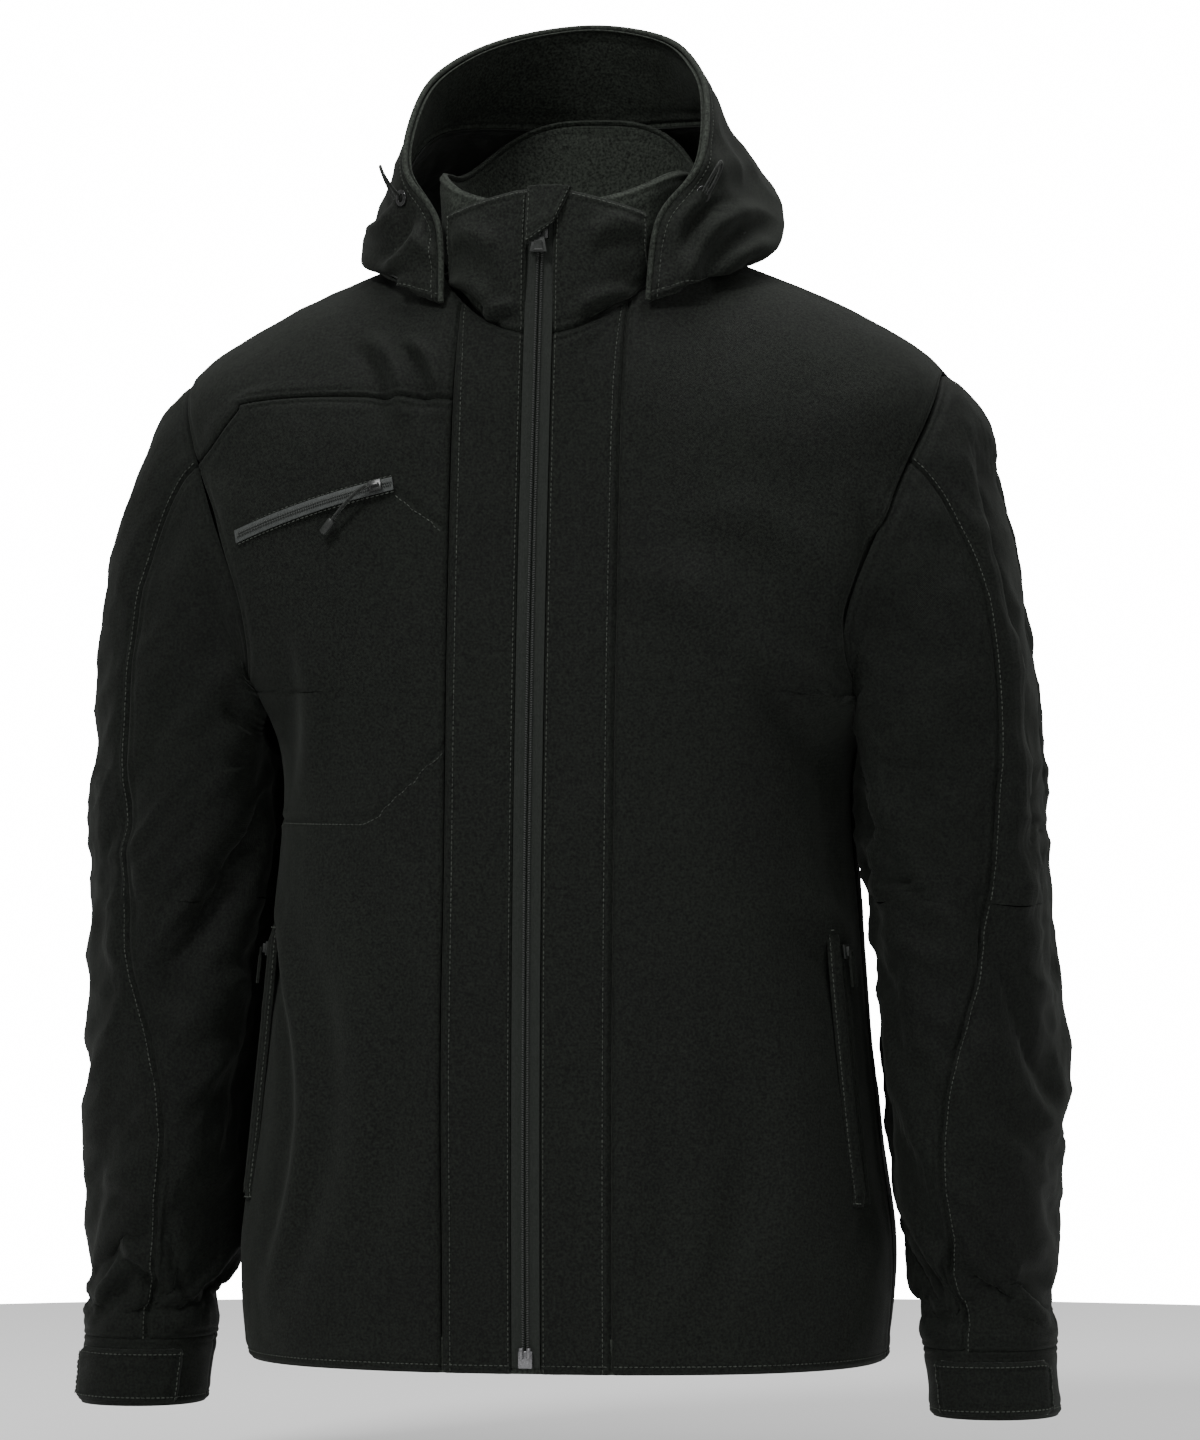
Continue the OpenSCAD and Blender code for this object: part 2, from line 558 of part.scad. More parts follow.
// The chest zip's puller is a cord through the slider, which ends in a moulded knot
CHEST_CORD = [[-107.2, -129.2, -155.8], [-110, -128.6, -157.2], [-115, -128.6, -160.8],
    [-120, -128.2, -165.6], [-124.5, -127.6, -170.6], [-129.9, -126.6, -177.3]];
chest_cord_d = 2.4;
knot_l = 11;
knot_d = 5.4;
knot_gap = 0.2;
module chest_cord() color("#101110") cord(CHEST_CORD, chest_cord_d, 9);
module chest_knot() color("#0d0e0d") let (last = len(CHEST_CORD) - 1,
    way = unit(CHEST_CORD[last] - CHEST_CORD[last - 1]))
    translate(CHEST_CORD[last] + knot_gap * way) aim(way) {
        cylinder(d = knot_d, h = knot_l, $fn = 24);
    }

// Each hand zip is straight and nearly upright, at the front of the side
hand_u = 74;
hand_v_top = 2.92;
hand_face = 1.4;
hand_up = below(body_surface, hand_u, hand_v_top, -hand_face);
hand_low = below(body_surface, hand_u, 1.5, -hand_face);
hand_x = unit(hand_low - hand_up);
hand_side = unit(cross(hand_x, face_normal(body_surface, hand_u, 2.2, 0.5, 0.02)));
hand_out = cross(hand_side, hand_x);
module on_hand() in_frame(hand_up, hand_x, cross(hand_out, hand_x), hand_out) children();
module hand_zip() on_hand() {
    translate([0, -small_zip_w / 2, -0.4]) cube([hand_zip_len, small_zip_w, 0.8]);
    translate([3, -small_coil_w / 2, 0.4]) cube([hand_zip_len - 6, small_coil_w, small_coil_t]);
}
hand_slider_at = 8;
hand_top = 0.4 + small_coil_t + travel_gap;
module hand_slider() on_hand() translate([hand_slider_at, 0, hand_top]) small_slider();
hand_pin = hand_top + small_slider_t + 2.9;
module hand_puller() on_hand() translate([hand_slider_at, 0, hand_pin]) {
    rotate([90, 0, 0]) cylinder(d = 1.2, h = 5, center = true, $fn = 24);
    for (side = [-1, 1]) translate([0, side * 1.9 - 0.6, -0.6]) cube([5, 1.2, 1.2]);
    translate([5, -3.4, -0.8]) cube([18, 6.8, 1.6]);
}
module hand_zip_left() color("#26282a") hand_zip();
module hand_zip_right() color("#26282a") mirror([1, 0, 0]) hand_zip();
module hand_slider_left() color("#1a1c1a") hand_slider();
module hand_slider_right() color("#1a1c1a") mirror([1, 0, 0]) hand_slider();
module hand_puller_left() color("#161816") hand_puller();
module hand_puller_right() color("#161816") mirror([1, 0, 0]) hand_puller();

// The welt is the folded strip of shell beside the hand zip
welt_w = 11;
function across(mm, u, v) = mm / norm(body_surface(u + 1, v) - body_surface(u, v));
module hand_welt() sheet(body_surface,
    function(v) hand_u - across(small_zip_w / 2 + welt_w, hand_u, v),
    function(v) hand_u - across(small_zip_w / 2 + 1, hand_u, v),
    steps(1.45, 2.98, 6), 2, -1.6, -gap);
module hand_welt_left() color("#1c1e1b") hand_welt();
module hand_welt_right() color("#1c1e1b") mirror([1, 0, 0]) hand_welt();

// A pocket bag is a flat closed pouch between the insulation and the lining
module bag(u0, u1, v0, v1) sheet(body_surface, at(u0), at(u1), steps(v0, v1, 6), 5,
    bag_in, bag_in + bag_t);
module hand_pocket_bag_left() color("#141613") bag(30, 72, 1.2, 3);
module hand_pocket_bag_right() color("#141613") mirror([1, 0, 0]) bag(30, 72, 1.2, 3);
module chest_pocket_bag() color("#141613") mirror([1, 0, 0]) bag(14, 46, 4.8, 6.2);

// ---- Sleeves ------------------------------------------------------------------------

// Rings of the sleeve below the armhole: height, centre x and y, half width, half depth
elbow_z = -sleeve_end * 0.576;
cuff_z = -sleeve_end + cuff_h;
SLEEVE = [
    [-sleeve_end * 0.44, sleeve_x, 4, biceps_w / 2, biceps_d / 2],
    [elbow_z, mix(sleeve_x, wrist_x, 0.15), 8, biceps_w / 2, biceps_d / 2 - 4],
    [-sleeve_end * 0.735, mix(sleeve_x, wrist_x, 0.4), 3, mix(biceps_w, cuff_w, 0.1) / 2,
        mix(biceps_d, cuff_d, 0.25) / 2],
    [-sleeve_end * 0.86, mix(sleeve_x, wrist_x, 0.7), -6, mix(biceps_w, cuff_w, 0.7) / 2,
        mix(biceps_d, cuff_d, 0.65) / 2],
    [cuff_z, mix(sleeve_x, wrist_x, 0.85), -12, cuff_w / 2 + 1, cuff_d / 2 + 3],
    [-sleeve_end, wrist_x, -16, cuff_w / 2, cuff_d / 2]];
CUFF = 1 + len(SLEEVE) - 1;
armhole_point = function(a) let (
    v = mix(UNDERARM, SHOULDER, (1 - cos(a)) / 2),
    u = 90 - sign(sin(a)) * armhole(v)) body_surface(u, v);
sleeve_ring = function(a, v) let (s = smooth(SLEEVE, v))
    [s[1] - s[3] * signed_pow(cos(a), 0.94), s[2] - s[4] * signed_pow(sin(a), 0.94), s[0]];
sleeve_off = 6;
// v runs from 0 at the armhole to 1 at the first ring, and on by one for each ring
sleeve_surface = function(a, v) let (
    top = armhole_point(a) + [sleeve_off, 0, -0.5], end = sleeve_ring(a, max(v - 1, 0)),
    mid = [mix(top[0], end[0], 0.85), mix(top[1], end[1], 0.5), mix(top[2], end[2], 0.17)],
    w = 1 - v)
    v >= 1 ? end : w * w * top + 2 * w * v * mid + v * v * end;

SIDES = 24;
elbow_cut = 0.012;
upper_rows = [0, 0.12, 0.3, 0.5, 0.75, 1, 1.5, 2 - elbow_cut];
fore_rows = concat([2 + elbow_cut], steps(2.5, CUFF - 1, 5));
sleeve_lining_in = shell_t + loft;
sleeve_lining_out = sleeve_lining_in + 3.6;
module upper_sleeve() ring_sheet(sleeve_surface, upper_rows, SIDES, 0, shell_t);
module upper_lining() ring_sheet(sleeve_surface, [0.12, 0.3, 0.5, 0.75, 1, 1.5, 2 - elbow_cut], SIDES,
    sleeve_lining_in, sleeve_lining_out);
module forearm() ring_sheet(sleeve_surface, fore_rows, SIDES, 0, shell_t);
module forearm_lining() ring_sheet(sleeve_surface, fore_rows, SIDES,
    sleeve_lining_in, sleeve_lining_out);
module cuff() ring_sheet(sleeve_surface, [CUFF - 0.99, CUFF - 0.5, CUFF], SIDES, 0,
    shell_t + 1.2);

module upper_sleeve_left() color("#171916") upper_sleeve();
module upper_sleeve_right() color("#171916") mirror([1, 0, 0]) upper_sleeve();
module upper_sleeve_lining_left() color("#141613") upper_lining();
module upper_sleeve_lining_right() color("#141613") mirror([1, 0, 0]) upper_lining();
module forearm_left() color("#171916") forearm();
module forearm_right() color("#171916") mirror([1, 0, 0]) forearm();
module forearm_lining_left() color("#141613") forearm_lining();
module forearm_lining_right() color("#141613") mirror([1, 0, 0]) forearm_lining();
module cuff_left() color("#171916") cuff();
module cuff_right() color("#171916") mirror([1, 0, 0]) cuff();

// The cuff tab is sewn at the cuff's inner front and closes on a patch round its outside
tab_t = 1.6;
tab_face = 1.8;
tab_u0 = 45;
tab_mid = CUFF - 0.5;
function cuff_across(mm) = mm / norm(sleeve_surface(tab_u0 + 1, tab_mid)
    - sleeve_surface(tab_u0, tab_mid));
function cuff_up(mm) = mm / cuff_h;
tab_rows = [tab_mid - cuff_up(tab_h) / 2, tab_mid, tab_mid + cuff_up(tab_h) / 2];
module wrap(u0, u1, rows, n, d0, d1) {
    function row(v, d) = [for (i = [0:n]) below(sleeve_surface, mix(u0, u1, i / n), v, -d)];
    sheet_solid([for (v = rows) row(v, d1)], [for (v = rows) row(v, d0)]);
}
patch_l = tab_len - 6;
module cuff_patch() wrap(tab_u0 + 8, tab_u0 + cuff_across(patch_l), tab_rows, 8,
    -tab_face + gap, -gap);
module cuff_tab() wrap(tab_u0, tab_u0 + cuff_across(tab_len), tab_rows, 11,
    -tab_face - tab_t, -tab_face);
module cuff_patch_left() color("#0c0d0c") cuff_patch();
module cuff_patch_right() color("#0c0d0c") mirror([1, 0, 0]) cuff_patch();
module cuff_tab_left() color("#191b18") cuff_tab();
module cuff_tab_right() color("#191b18") mirror([1, 0, 0]) cuff_tab();

back_panel();
front_panel_left();
front_panel_right();
chest_yoke_right();
placket_left();
placket_right();
storm_flap();
insulation_back();
insulation_left();
insulation_right();
body_lining();
collar_left();
collar_right();
collar_inner();
hanger_loop();
main_zip_tape_left();
main_zip_tape_right();
main_zip_coil();
zip_retainer_box();
main_zip_slider();
main_zip_puller();
zip_garage();
chest_zip_tape();
chest_zip_coil();
chest_zip_slider();
chest_cord();
chest_knot();
chest_pocket_bag();
hand_welt_left();
hand_welt_right();
hand_zip_left();
hand_zip_right();
hand_slider_left();
hand_slider_right();
hand_puller_left();
hand_puller_right();
hand_pocket_bag_left();
hand_pocket_bag_right();
hood_centre();
hood_side_left();
hood_side_right();
hood_facing();
hood_lining();
hood_eyelets();
hood_cord_left();
hood_cord_right();
upper_sleeve_left();
upper_sleeve_right();
upper_sleeve_lining_left();
upper_sleeve_lining_right();
forearm_left();
forearm_right();
forearm_lining_left();
forearm_lining_right();
cuff_left();
cuff_right();
cuff_patch_left();
cuff_patch_right();
cuff_tab_left();
cuff_tab_right();
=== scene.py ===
"""Hooded ski jacket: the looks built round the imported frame. Metres, -Y is the front, +X the wearer's left.

Every piece of cloth is a grid laid on one of four surfaces (body, collar, hood, sleeve), with its seams,
folds and topstitching worked into the mesh. A surface is a function of u round the piece and v along it.
"""

import math

import bmesh
import bpy
import numpy as np
from mathutils import Matrix, Vector, noise


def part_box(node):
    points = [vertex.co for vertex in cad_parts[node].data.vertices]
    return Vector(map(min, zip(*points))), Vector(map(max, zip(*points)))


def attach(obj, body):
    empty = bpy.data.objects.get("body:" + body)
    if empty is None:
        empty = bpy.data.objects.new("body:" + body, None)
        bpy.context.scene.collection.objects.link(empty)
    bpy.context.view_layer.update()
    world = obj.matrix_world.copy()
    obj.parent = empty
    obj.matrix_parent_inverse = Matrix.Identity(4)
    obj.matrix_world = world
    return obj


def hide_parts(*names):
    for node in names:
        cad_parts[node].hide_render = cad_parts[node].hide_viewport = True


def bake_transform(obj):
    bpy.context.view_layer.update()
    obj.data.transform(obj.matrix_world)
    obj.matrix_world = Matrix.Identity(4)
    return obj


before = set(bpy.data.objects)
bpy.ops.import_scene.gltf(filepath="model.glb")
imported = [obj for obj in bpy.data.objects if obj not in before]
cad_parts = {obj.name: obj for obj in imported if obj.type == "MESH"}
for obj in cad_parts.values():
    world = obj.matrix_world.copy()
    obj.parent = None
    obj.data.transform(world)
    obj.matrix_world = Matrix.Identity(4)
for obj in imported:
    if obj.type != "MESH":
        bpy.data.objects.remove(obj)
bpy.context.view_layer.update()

MM = 0.001
SIDES = {"left": 1, "right": -1}

# ---- Camera and light ----------------------------------------------------------------

VIEW_TURN = math.radians(10.5)
VIEW_DISTANCE = 5.0
VIEW_HEIGHT = -0.305
VIEW_ASIDE = 0.0195
FRAME_HEIGHT = 0.936
SENSOR = 36.0
SURROUND_LIGHT, SURROUND_SEEN = 0.34, 16.0
LAMPS = {  # place, target, side, watts
    "key": ((-1.1, -2.3, 2.7), (0, 0, -0.1), 0.8, 100),
    "front_fill": ((1.2, -3.1, 0.4), (0, 0, 0), 1.2, 20),
    "top": ((0.3, 0.4, 2.4), (0, 0, 0), 1.0, 26),
    "floor_wash": ((0.4, -0.2, 2.8), (0, -0.2, -0.8), 2.6, 70)}


def camera():
    """Looks level at the jacket from its front, turned a little to the wearer's left."""
    data = bpy.data.cameras.new("camera")
    data.sensor_width = SENSOR
    data.lens = SENSOR * VIEW_DISTANCE / FRAME_HEIGHT
    data.clip_end = 50
    eye = bpy.data.objects.new("camera", data)
    right = Vector((math.cos(VIEW_TURN), math.sin(VIEW_TURN), 0))
    back = Vector((math.sin(VIEW_TURN), -math.cos(VIEW_TURN), 0))
    eye.location = right * VIEW_ASIDE + back * VIEW_DISTANCE + Vector((0, 0, VIEW_HEIGHT))
    eye.rotation_euler = (math.radians(90), 0, VIEW_TURN)
    bpy.context.collection.objects.link(eye)
    bpy.context.scene.camera = eye


def area_light(name, place, target, side, watts):
    data = bpy.data.lights.new(name, "AREA")
    data.shape = "RECTANGLE"
    data.size = data.size_y = side
    data.energy = watts
    lamp = bpy.data.objects.new(name, data)
    lamp.location = place
    lamp.rotation_euler = (Vector(target) - Vector(place)).to_track_quat("-Z", "Y").to_euler()
    bpy.context.collection.objects.link(lamp)


def studio():
    """Even pale surroundings that light little, a key from above the camera's left and weak fills."""
    world = bpy.data.worlds.new("studio")
    bpy.context.scene.world = world
    world.use_nodes = True
    tree = world.node_tree
    seen = tree.nodes.new("ShaderNodeLightPath")
    strength = tree.nodes.new("ShaderNodeMapRange")
    strength.inputs["To Min"].default_value = SURROUND_LIGHT
    strength.inputs["To Max"].default_value = SURROUND_SEEN
    background = tree.nodes["Background"]
    background.inputs["Color"].default_value = (1, 1, 1, 1)
    tree.links.new(seen.outputs["Is Camera Ray"], strength.inputs["Value"])
    tree.links.new(strength.outputs["Result"], background.inputs["Strength"])
    for name, (place, target, side, watts) in LAMPS.items():
        area_light(name, place, target, side, watts)


# ---- Materials -----------------------------------------------------------------------


SHEEN_TINT = (0.82, 0.88, 0.8, 1)


def new_material(name):
    """A material with the position on the object and on the cloth ready to link from."""
    mat = bpy.data.materials.new(name)
    mat.use_nodes = True
    tree = mat.node_tree
    return mat, tree, tree.nodes["Principled BSDF"], tree.nodes.new("ShaderNodeTexCoord")


def link(tree, a, out, b, into):
    tree.links.new(a.outputs[out], b.inputs[into])


def noise_node(tree, coords, scale, detail=2):
    node = tree.nodes.new("ShaderNodeTexNoise")
    node.inputs["Scale"].default_value = scale
    node.inputs["Detail"].default_value = detail
    link(tree, coords, "Object", node, "Vector")
    return node


def sum_node(tree, operation, a, b, c=None):
    """A math node. Each of a, b and c is a number or a pair (node, output)."""
    node = tree.nodes.new("ShaderNodeMath")
    node.operation = operation
    for k, value in enumerate((a, b, c)):
        if isinstance(value, tuple):
            link(tree, *value, node, k)
        elif value is not None:
            node.inputs[k].default_value = value
    return node, "Value"


def ramp_into(tree, source, low, high, dark, light, shader, socket):
    """Turns a value from low to high into a colour from dark to light, on one socket of the shader."""
    ramp = tree.nodes.new("ShaderNodeValToRGB")
    for stop, place, colour in zip(ramp.color_ramp.elements, (low, high), (dark, light)):
        stop.position = place
        stop.color = (*colour, 1)
    link(tree, *source, ramp, "Fac")
    link(tree, ramp, "Color", shader, socket)


def bump_node(tree, source, strength, distance, shader):
    relief = tree.nodes.new("ShaderNodeBump")
    relief.inputs["Strength"].default_value = strength
    relief.inputs["Distance"].default_value = distance
    link(tree, *source, relief, "Height")
    link(tree, relief, "Normal", shader, "Normal")


def scaled(colour, k):
    return tuple(c * k for c in colour)


def cloth_material(name, colour, rough=0.8, sheen=0.04, thread=0.0009, grain=0.7, bump=0.35,
                   spec=0.14):
    """Woven cloth: crossed threads over the piece's own UV in metres, a grain of single yarns and a slow
    cloudiness where the face is rubbed."""
    mat, tree, shader, coords = new_material(name)
    cloud = noise_node(tree, coords, 11, 4)
    yarn = noise_node(tree, coords, 620, 3)
    cloudy = sum_node(tree, "MULTIPLY", (cloud, "Fac"), 0.2)
    tone = sum_node(tree, "MULTIPLY_ADD", (yarn, "Fac"), 0.8, cloudy)
    dark, pale = scaled(colour, 1 - grain), scaled(colour, 1 + grain)
    ramp_into(tree, tone, 0.36, 0.64, dark, pale, shader, "Base Color")
    weave = []
    for direction in ("X", "Y"):
        wave = tree.nodes.new("ShaderNodeTexWave")
        wave.bands_direction = direction
        wave.inputs["Scale"].default_value = 1 / thread / 3.1416
        wave.inputs["Distortion"].default_value = 0.6
        wave.inputs["Detail"].default_value = 1
        link(tree, coords, "UV", wave, "Vector")
        weave.append((wave, "Fac"))
    height = sum_node(tree, "ADD", sum_node(tree, "MULTIPLY", *weave), (yarn, "Fac"))
    bump_node(tree, height, bump, 0.0005, shader)
    ramp_into(tree, (cloud, "Fac"), 0.3, 0.7, (rough - 0.06,) * 3, (rough + 0.05,) * 3, shader, "Roughness")
    shader.inputs["Specular IOR Level"].default_value = spec
    shader.inputs["Sheen Weight"].default_value = sheen
    shader.inputs["Sheen Roughness"].default_value = 0.45
    shader.inputs["Sheen Tint"].default_value = SHEEN_TINT
    return mat


def moulded_material(name, colour, rough=0.42, spec=0.4, metallic=0.0):
    """Moulded or painted hardware: a fine orange-peel in its gloss and a little unevenness of tone."""
    mat, tree, shader, coords = new_material(name)
    peel = (noise_node(tree, coords, 900, 3), "Fac")
    ramp_into(tree, peel, 0.3, 0.7, scaled(colour, 0.75), scaled(colour, 1.25), shader, "Base Color")
    ramp_into(tree, peel, 0.3, 0.7, (rough - 0.08,) * 3, (rough + 0.08,) * 3, shader, "Roughness")
    bump_node(tree, peel, 0.15, 0.0002, shader)
    shader.inputs["Metallic"].default_value = metallic
    shader.inputs["Specular IOR Level"].default_value = spec
    return mat


def paper_material(name, colour):
    """Pale paper: nearly even, with a faint cloudiness."""
    mat, tree, shader, coords = new_material(name)
    cloud = (noise_node(tree, coords, 1.5), "Fac")
    ramp_into(tree, cloud, 0.3, 0.7, scaled(colour, 0.985), colour, shader, "Base Color")
    shader.inputs["Roughness"].default_value = 0.9
    shader.inputs["Specular IOR Level"].default_value = 0.1
    return mat


MATERIALS = {
    "paper": paper_material("paper", (0.86, 0.86, 0.86)),
    "shell": cloth_material("shell_cloth", (0.0056, 0.0069, 0.0053)),
    # Painted shade: the sleeves take the shell's cloth darkened, so they read as lying in shade.
    "sleeve": cloth_material("sleeve_painted_shade_cloth", (0.0042, 0.0053, 0.0040)),
    # Painted light: the collar takes the shell's cloth made paler, for the light it catches as it leans back.
    "collar": cloth_material("collar_painted_light_cloth", (0.0072, 0.0088, 0.0068)),
    # Painted light: the hood takes the shell's cloth made a little paler, for the light it catches.
    "hood": cloth_material("hood_painted_light_cloth", (0.0068, 0.0082, 0.0064)),
    # Painted light: the facing is the shell's cloth made several times paler, for the hood's inside, which
    # faces down into shade; the storm flap, hem turn-up, inner collar and rim binding take it too.
    "facing": cloth_material("facing_painted_light_cloth", (0.0200, 0.0236, 0.0190)),
    "lining": cloth_material("lining_cloth", (0.0105, 0.0122, 0.0102), rough=0.5, sheen=0.05, thread=0.0006,
                             grain=0.12, bump=0.2, spec=0.3),
    "tape": cloth_material("zip_tape_cloth", (0.014, 0.0165, 0.014), rough=0.7, sheen=0.05, thread=0.0008,
                           grain=0.2),
    "chest_tape": cloth_material("chest_tape_cloth", (0.046, 0.050, 0.048), rough=0.66, sheen=0.05,
                                 thread=0.0008, grain=0.2),
    "thread": cloth_material("sewing_thread", (0.040, 0.045, 0.038), rough=0.7, sheen=0.1, thread=0.0004),
    "cord": cloth_material("elastic_cord", (0.012, 0.013, 0.012), rough=0.6, sheen=0.2, thread=0.0007),
    "hook": cloth_material("hook_tape_cloth", (0.009, 0.010, 0.009), rough=0.95, sheen=0.3, thread=0.0012,
                           grain=0.5, bump=0.9),
    "coil": moulded_material("nylon_coil", (0.026, 0.029, 0.026), rough=0.45),
    "metal": moulded_material("painted_zinc", (0.014, 0.015, 0.014), rough=0.3, spec=0.6, metallic=0.35),
    "retainer": moulded_material("moulded_box", (0.14, 0.14, 0.145), rough=0.22, spec=0.6, metallic=0.3),
    "rubber": moulded_material("moulded_rubber", (0.017, 0.019, 0.017), rough=0.5, spec=0.35),
    "eyelet": moulded_material("gloss_ring", (0.010, 0.011, 0.010), rough=0.16, spec=0.6),
}


# ---- Surfaces, in millimetres as drafted -----------------------------------------------

LENGTH, HEM_W, WAIST_W, CHEST_W, SHOULDER_W = 718, 414, 380, 372, 490
SHOULDER_DROP, BACK_DEPTH, FRONT_DEPTH, FRONT_RADIUS = 82, 138, 152, 3500
NECK_W, NECK_DROP, NECK_RISE = 168, 59, 24
COLLAR_FRONT_H, COLLAR_BACK_H, PANEL_W = 86, 68, 66
SLEEVE_X, WRIST_X, SLEEVE_END = 254, 281, 750
BICEPS_W, BICEPS_D, CUFF_W, CUFF_D, CUFF_H = 122, 150, 82, 96, 42
HOOD_TOP, HOOD_REACH, HOOD_BACK = 153, 97, 172
TAPE_EDGE = 8.5
PLACKET_EDGE = TAPE_EDGE + 46
ARMHOLE_REACH, UNDERARM, SHOULDER, NECK = 38, 4.6, 8, 11
FRONT_Z = -LENGTH * 0.835


def mix(a, b, t):
    return a + (b - a) * t


def through(pick, last, t):
    """A smooth curve that passes pick(k) at t = k, for k from 0 to last."""
    k = np.clip(np.floor(t).astype(int), 0, last - 1)
    f = (t - k)[..., None]
    p, q, r, s = (pick(np.clip(k + step, 0, last)) for step in (-1, 0, 1, 2))
    return 0.5 * (2 * q + (r - p) * f + (2 * p - 5 * q + 4 * r - s) * f**2
                  + (3 * q - p - 3 * r + s) * f**3)


def spline(rows, t):
    rows = np.asarray(rows, float)
    return through(lambda k: rows[k], len(rows) - 1, np.asarray(t, float))


def signed_pow(x, e):
    return np.sign(x) * np.abs(x) ** e


def front_y(z):
    return FRONT_RADIUS - FRONT_DEPTH - np.sqrt(FRONT_RADIUS**2 - (z - FRONT_Z) ** 2)


def level_ring(width, depth, squareness, height):
    return (width / 2, depth, squareness, height, height, height)


# Rings from hem to neck: half width, back depth, squareness, heights at the sides, front and back
BODY = [
    level_ring(HEM_W, BACK_DEPTH, 2.5, -LENGTH),
    level_ring(HEM_W + 10, BACK_DEPTH, 2.5, -LENGTH * 0.905),
    level_ring(mix(HEM_W, WAIST_W, 0.3), BACK_DEPTH - 2, 2.5, -LENGTH * 0.78),
    level_ring(WAIST_W, BACK_DEPTH - 5, 2.5, -LENGTH * 0.607),
    level_ring(CHEST_W, BACK_DEPTH - 6, 2.6, -LENGTH * 0.46),
    level_ring(mix(CHEST_W, SHOULDER_W, 0.55), BACK_DEPTH - 4, 3, -LENGTH * 0.365),
    (SHOULDER_W / 2 - 2, BACK_DEPTH - 2, 3, -LENGTH * 0.28, -LENGTH * 0.285, -LENGTH * 0.27),
    (SHOULDER_W / 2 + 5, BACK_DEPTH - 3, 2.8, -SHOULDER_DROP - 58, -SHOULDER_DROP - 86, -SHOULDER_DROP - 44),
    (SHOULDER_W / 2, BACK_DEPTH - 9, 2.6, -SHOULDER_DROP, -SHOULDER_DROP - 50, -SHOULDER_DROP + 14),
    (mix(NECK_W, SHOULDER_W, 0.66) / 2, BACK_DEPTH - 16, 2.4, -SHOULDER_DROP * 0.53, -NECK_DROP - 46,
     -SHOULDER_DROP * 0.43),
    (mix(NECK_W, SHOULDER_W, 0.29) / 2, BACK_DEPTH - 28, 2.2, -SHOULDER_DROP * 0.21, -NECK_DROP - 22, -2),
    (NECK_W / 2, BACK_DEPTH - 42, 2.1, -2, -NECK_DROP, NECK_RISE)]


def oval(s, u):
    """A point on a ring at the angle u round it, where 0 is the front's centre and 90 the wearer's left."""
    e, a = 2 / s[..., 2], np.radians(u)
    c = np.cos(a)
    z = s[..., 3] + c * c * (np.where(c > 0, s[..., 4], s[..., 5]) - s[..., 3])
    depth = np.where(c > 0, front_y(s[..., 4]), s[..., 1])
    return np.stack([s[..., 0] * signed_pow(np.sin(a), e), depth * np.abs(c) ** e, z], -1)


def body_skin(u, v):
    return oval(spline(BODY, v), u)


def angle_at(x, s):
    """The angle round a ring at which it is x away from the middle."""
    return np.degrees(np.arcsin(np.clip(x / s[..., 0], 0, 1) ** (s[..., 2] / 2)))


def body_angle(x, v):
    return angle_at(x, spline(BODY, v))


def armhole(v):
    s = np.clip((v - UNDERARM) / (SHOULDER - UNDERARM), 0, 1)
    return ARMHOLE_REACH * np.abs(np.sin(np.pi * s**0.6)) ** 0.6


COLLAR_TOP = COLLAR_FRONT_H - NECK_DROP
COLLAR = [
    (NECK_W / 2, BACK_DEPTH - 43, 2.1, 0, 1 - NECK_DROP, NECK_RISE + 1),
    (NECK_W / 2 - 1, BACK_DEPTH - 42, 2.6, 25, mix(-NECK_DROP, COLLAR_TOP, 0.5),
     NECK_RISE + COLLAR_BACK_H / 2),
    (NECK_W / 2, BACK_DEPTH - 43, 2.8, 50, COLLAR_TOP, NECK_RISE + COLLAR_BACK_H)]


def collar_skin(u, v):
    return oval(spline(COLLAR, v), u)


def collar_angle(x, v):
    return angle_at(x, spline(COLLAR, v))


PANEL_FALL = 16


def panel_skin(x, v):
    """The collar's front, flat across and falling a little from the zip to its outer edge."""
    t = np.abs(x) / PANEL_W
    foot = body_skin(np.sign(x) * body_angle(np.abs(x), np.full_like(v, NECK)), np.full_like(v, NECK))
    top = COLLAR_TOP + 8 - PANEL_FALL * t**1.6
    y_top = front_y(top) * (1 - 0.2 * t**2.4) - 3
    bulge = 4 * np.sin(np.pi * v)
    return np.stack([x, mix(foot[..., 1], y_top, v**0.8) - bulge, mix(foot[..., 2], top, v)], -1)


# Arches of the hood from rim to neck seam, each from its foot to its crown
HOOD = [
    [(68, -90, -38), (73, -78, 14), (HOOD_REACH, -64, 50), (HOOD_REACH, -32, 92),
     (HOOD_REACH * 0.87, 0, 120), (HOOD_REACH * 0.55, 52, HOOD_TOP - 10), (0, 76, HOOD_TOP)],
    [(88, -84, -30), (108, -62, 0), (HOOD_REACH * 1.18, -32, 34), (HOOD_REACH * 1.1, 6, 68),
     (HOOD_REACH * 0.95, 52, 86), (HOOD_REACH * 0.55, 98, 90), (0, 113, 88)],
    [(103, -66, -20), (HOOD_REACH * 1.36, -28, -8), (HOOD_REACH * 1.4, 22, 14),
     (HOOD_REACH * 1.27, 68, 40), (HOOD_REACH, HOOD_BACK - 62, 50),
     (HOOD_REACH * 0.58, HOOD_BACK - 26, 48), (0, HOOD_BACK - 12, 46)],
    [(100, -54, -10), (108, -22, -4), (108, 12, 4), (96, 52, 14), (70, 84, 24), (36, 102, 30), (0, 108, 33)]]
CROWN = 6
STRIP = CROWN * 0.22
ARCHES = [[(-x, y, z) for x, y, z in arch] + arch[-2::-1] for arch in HOOD]


def hood_skin(u, v):
    """u goes over the crown from one foot of an arch to the other, v from the rim to the neck seam."""
    curves = np.stack([spline(arch, u) for arch in ARCHES])
    return through(lambda k: np.take_along_axis(curves, k[None, ..., None], 0)[0], len(ARCHES) - 1, v)


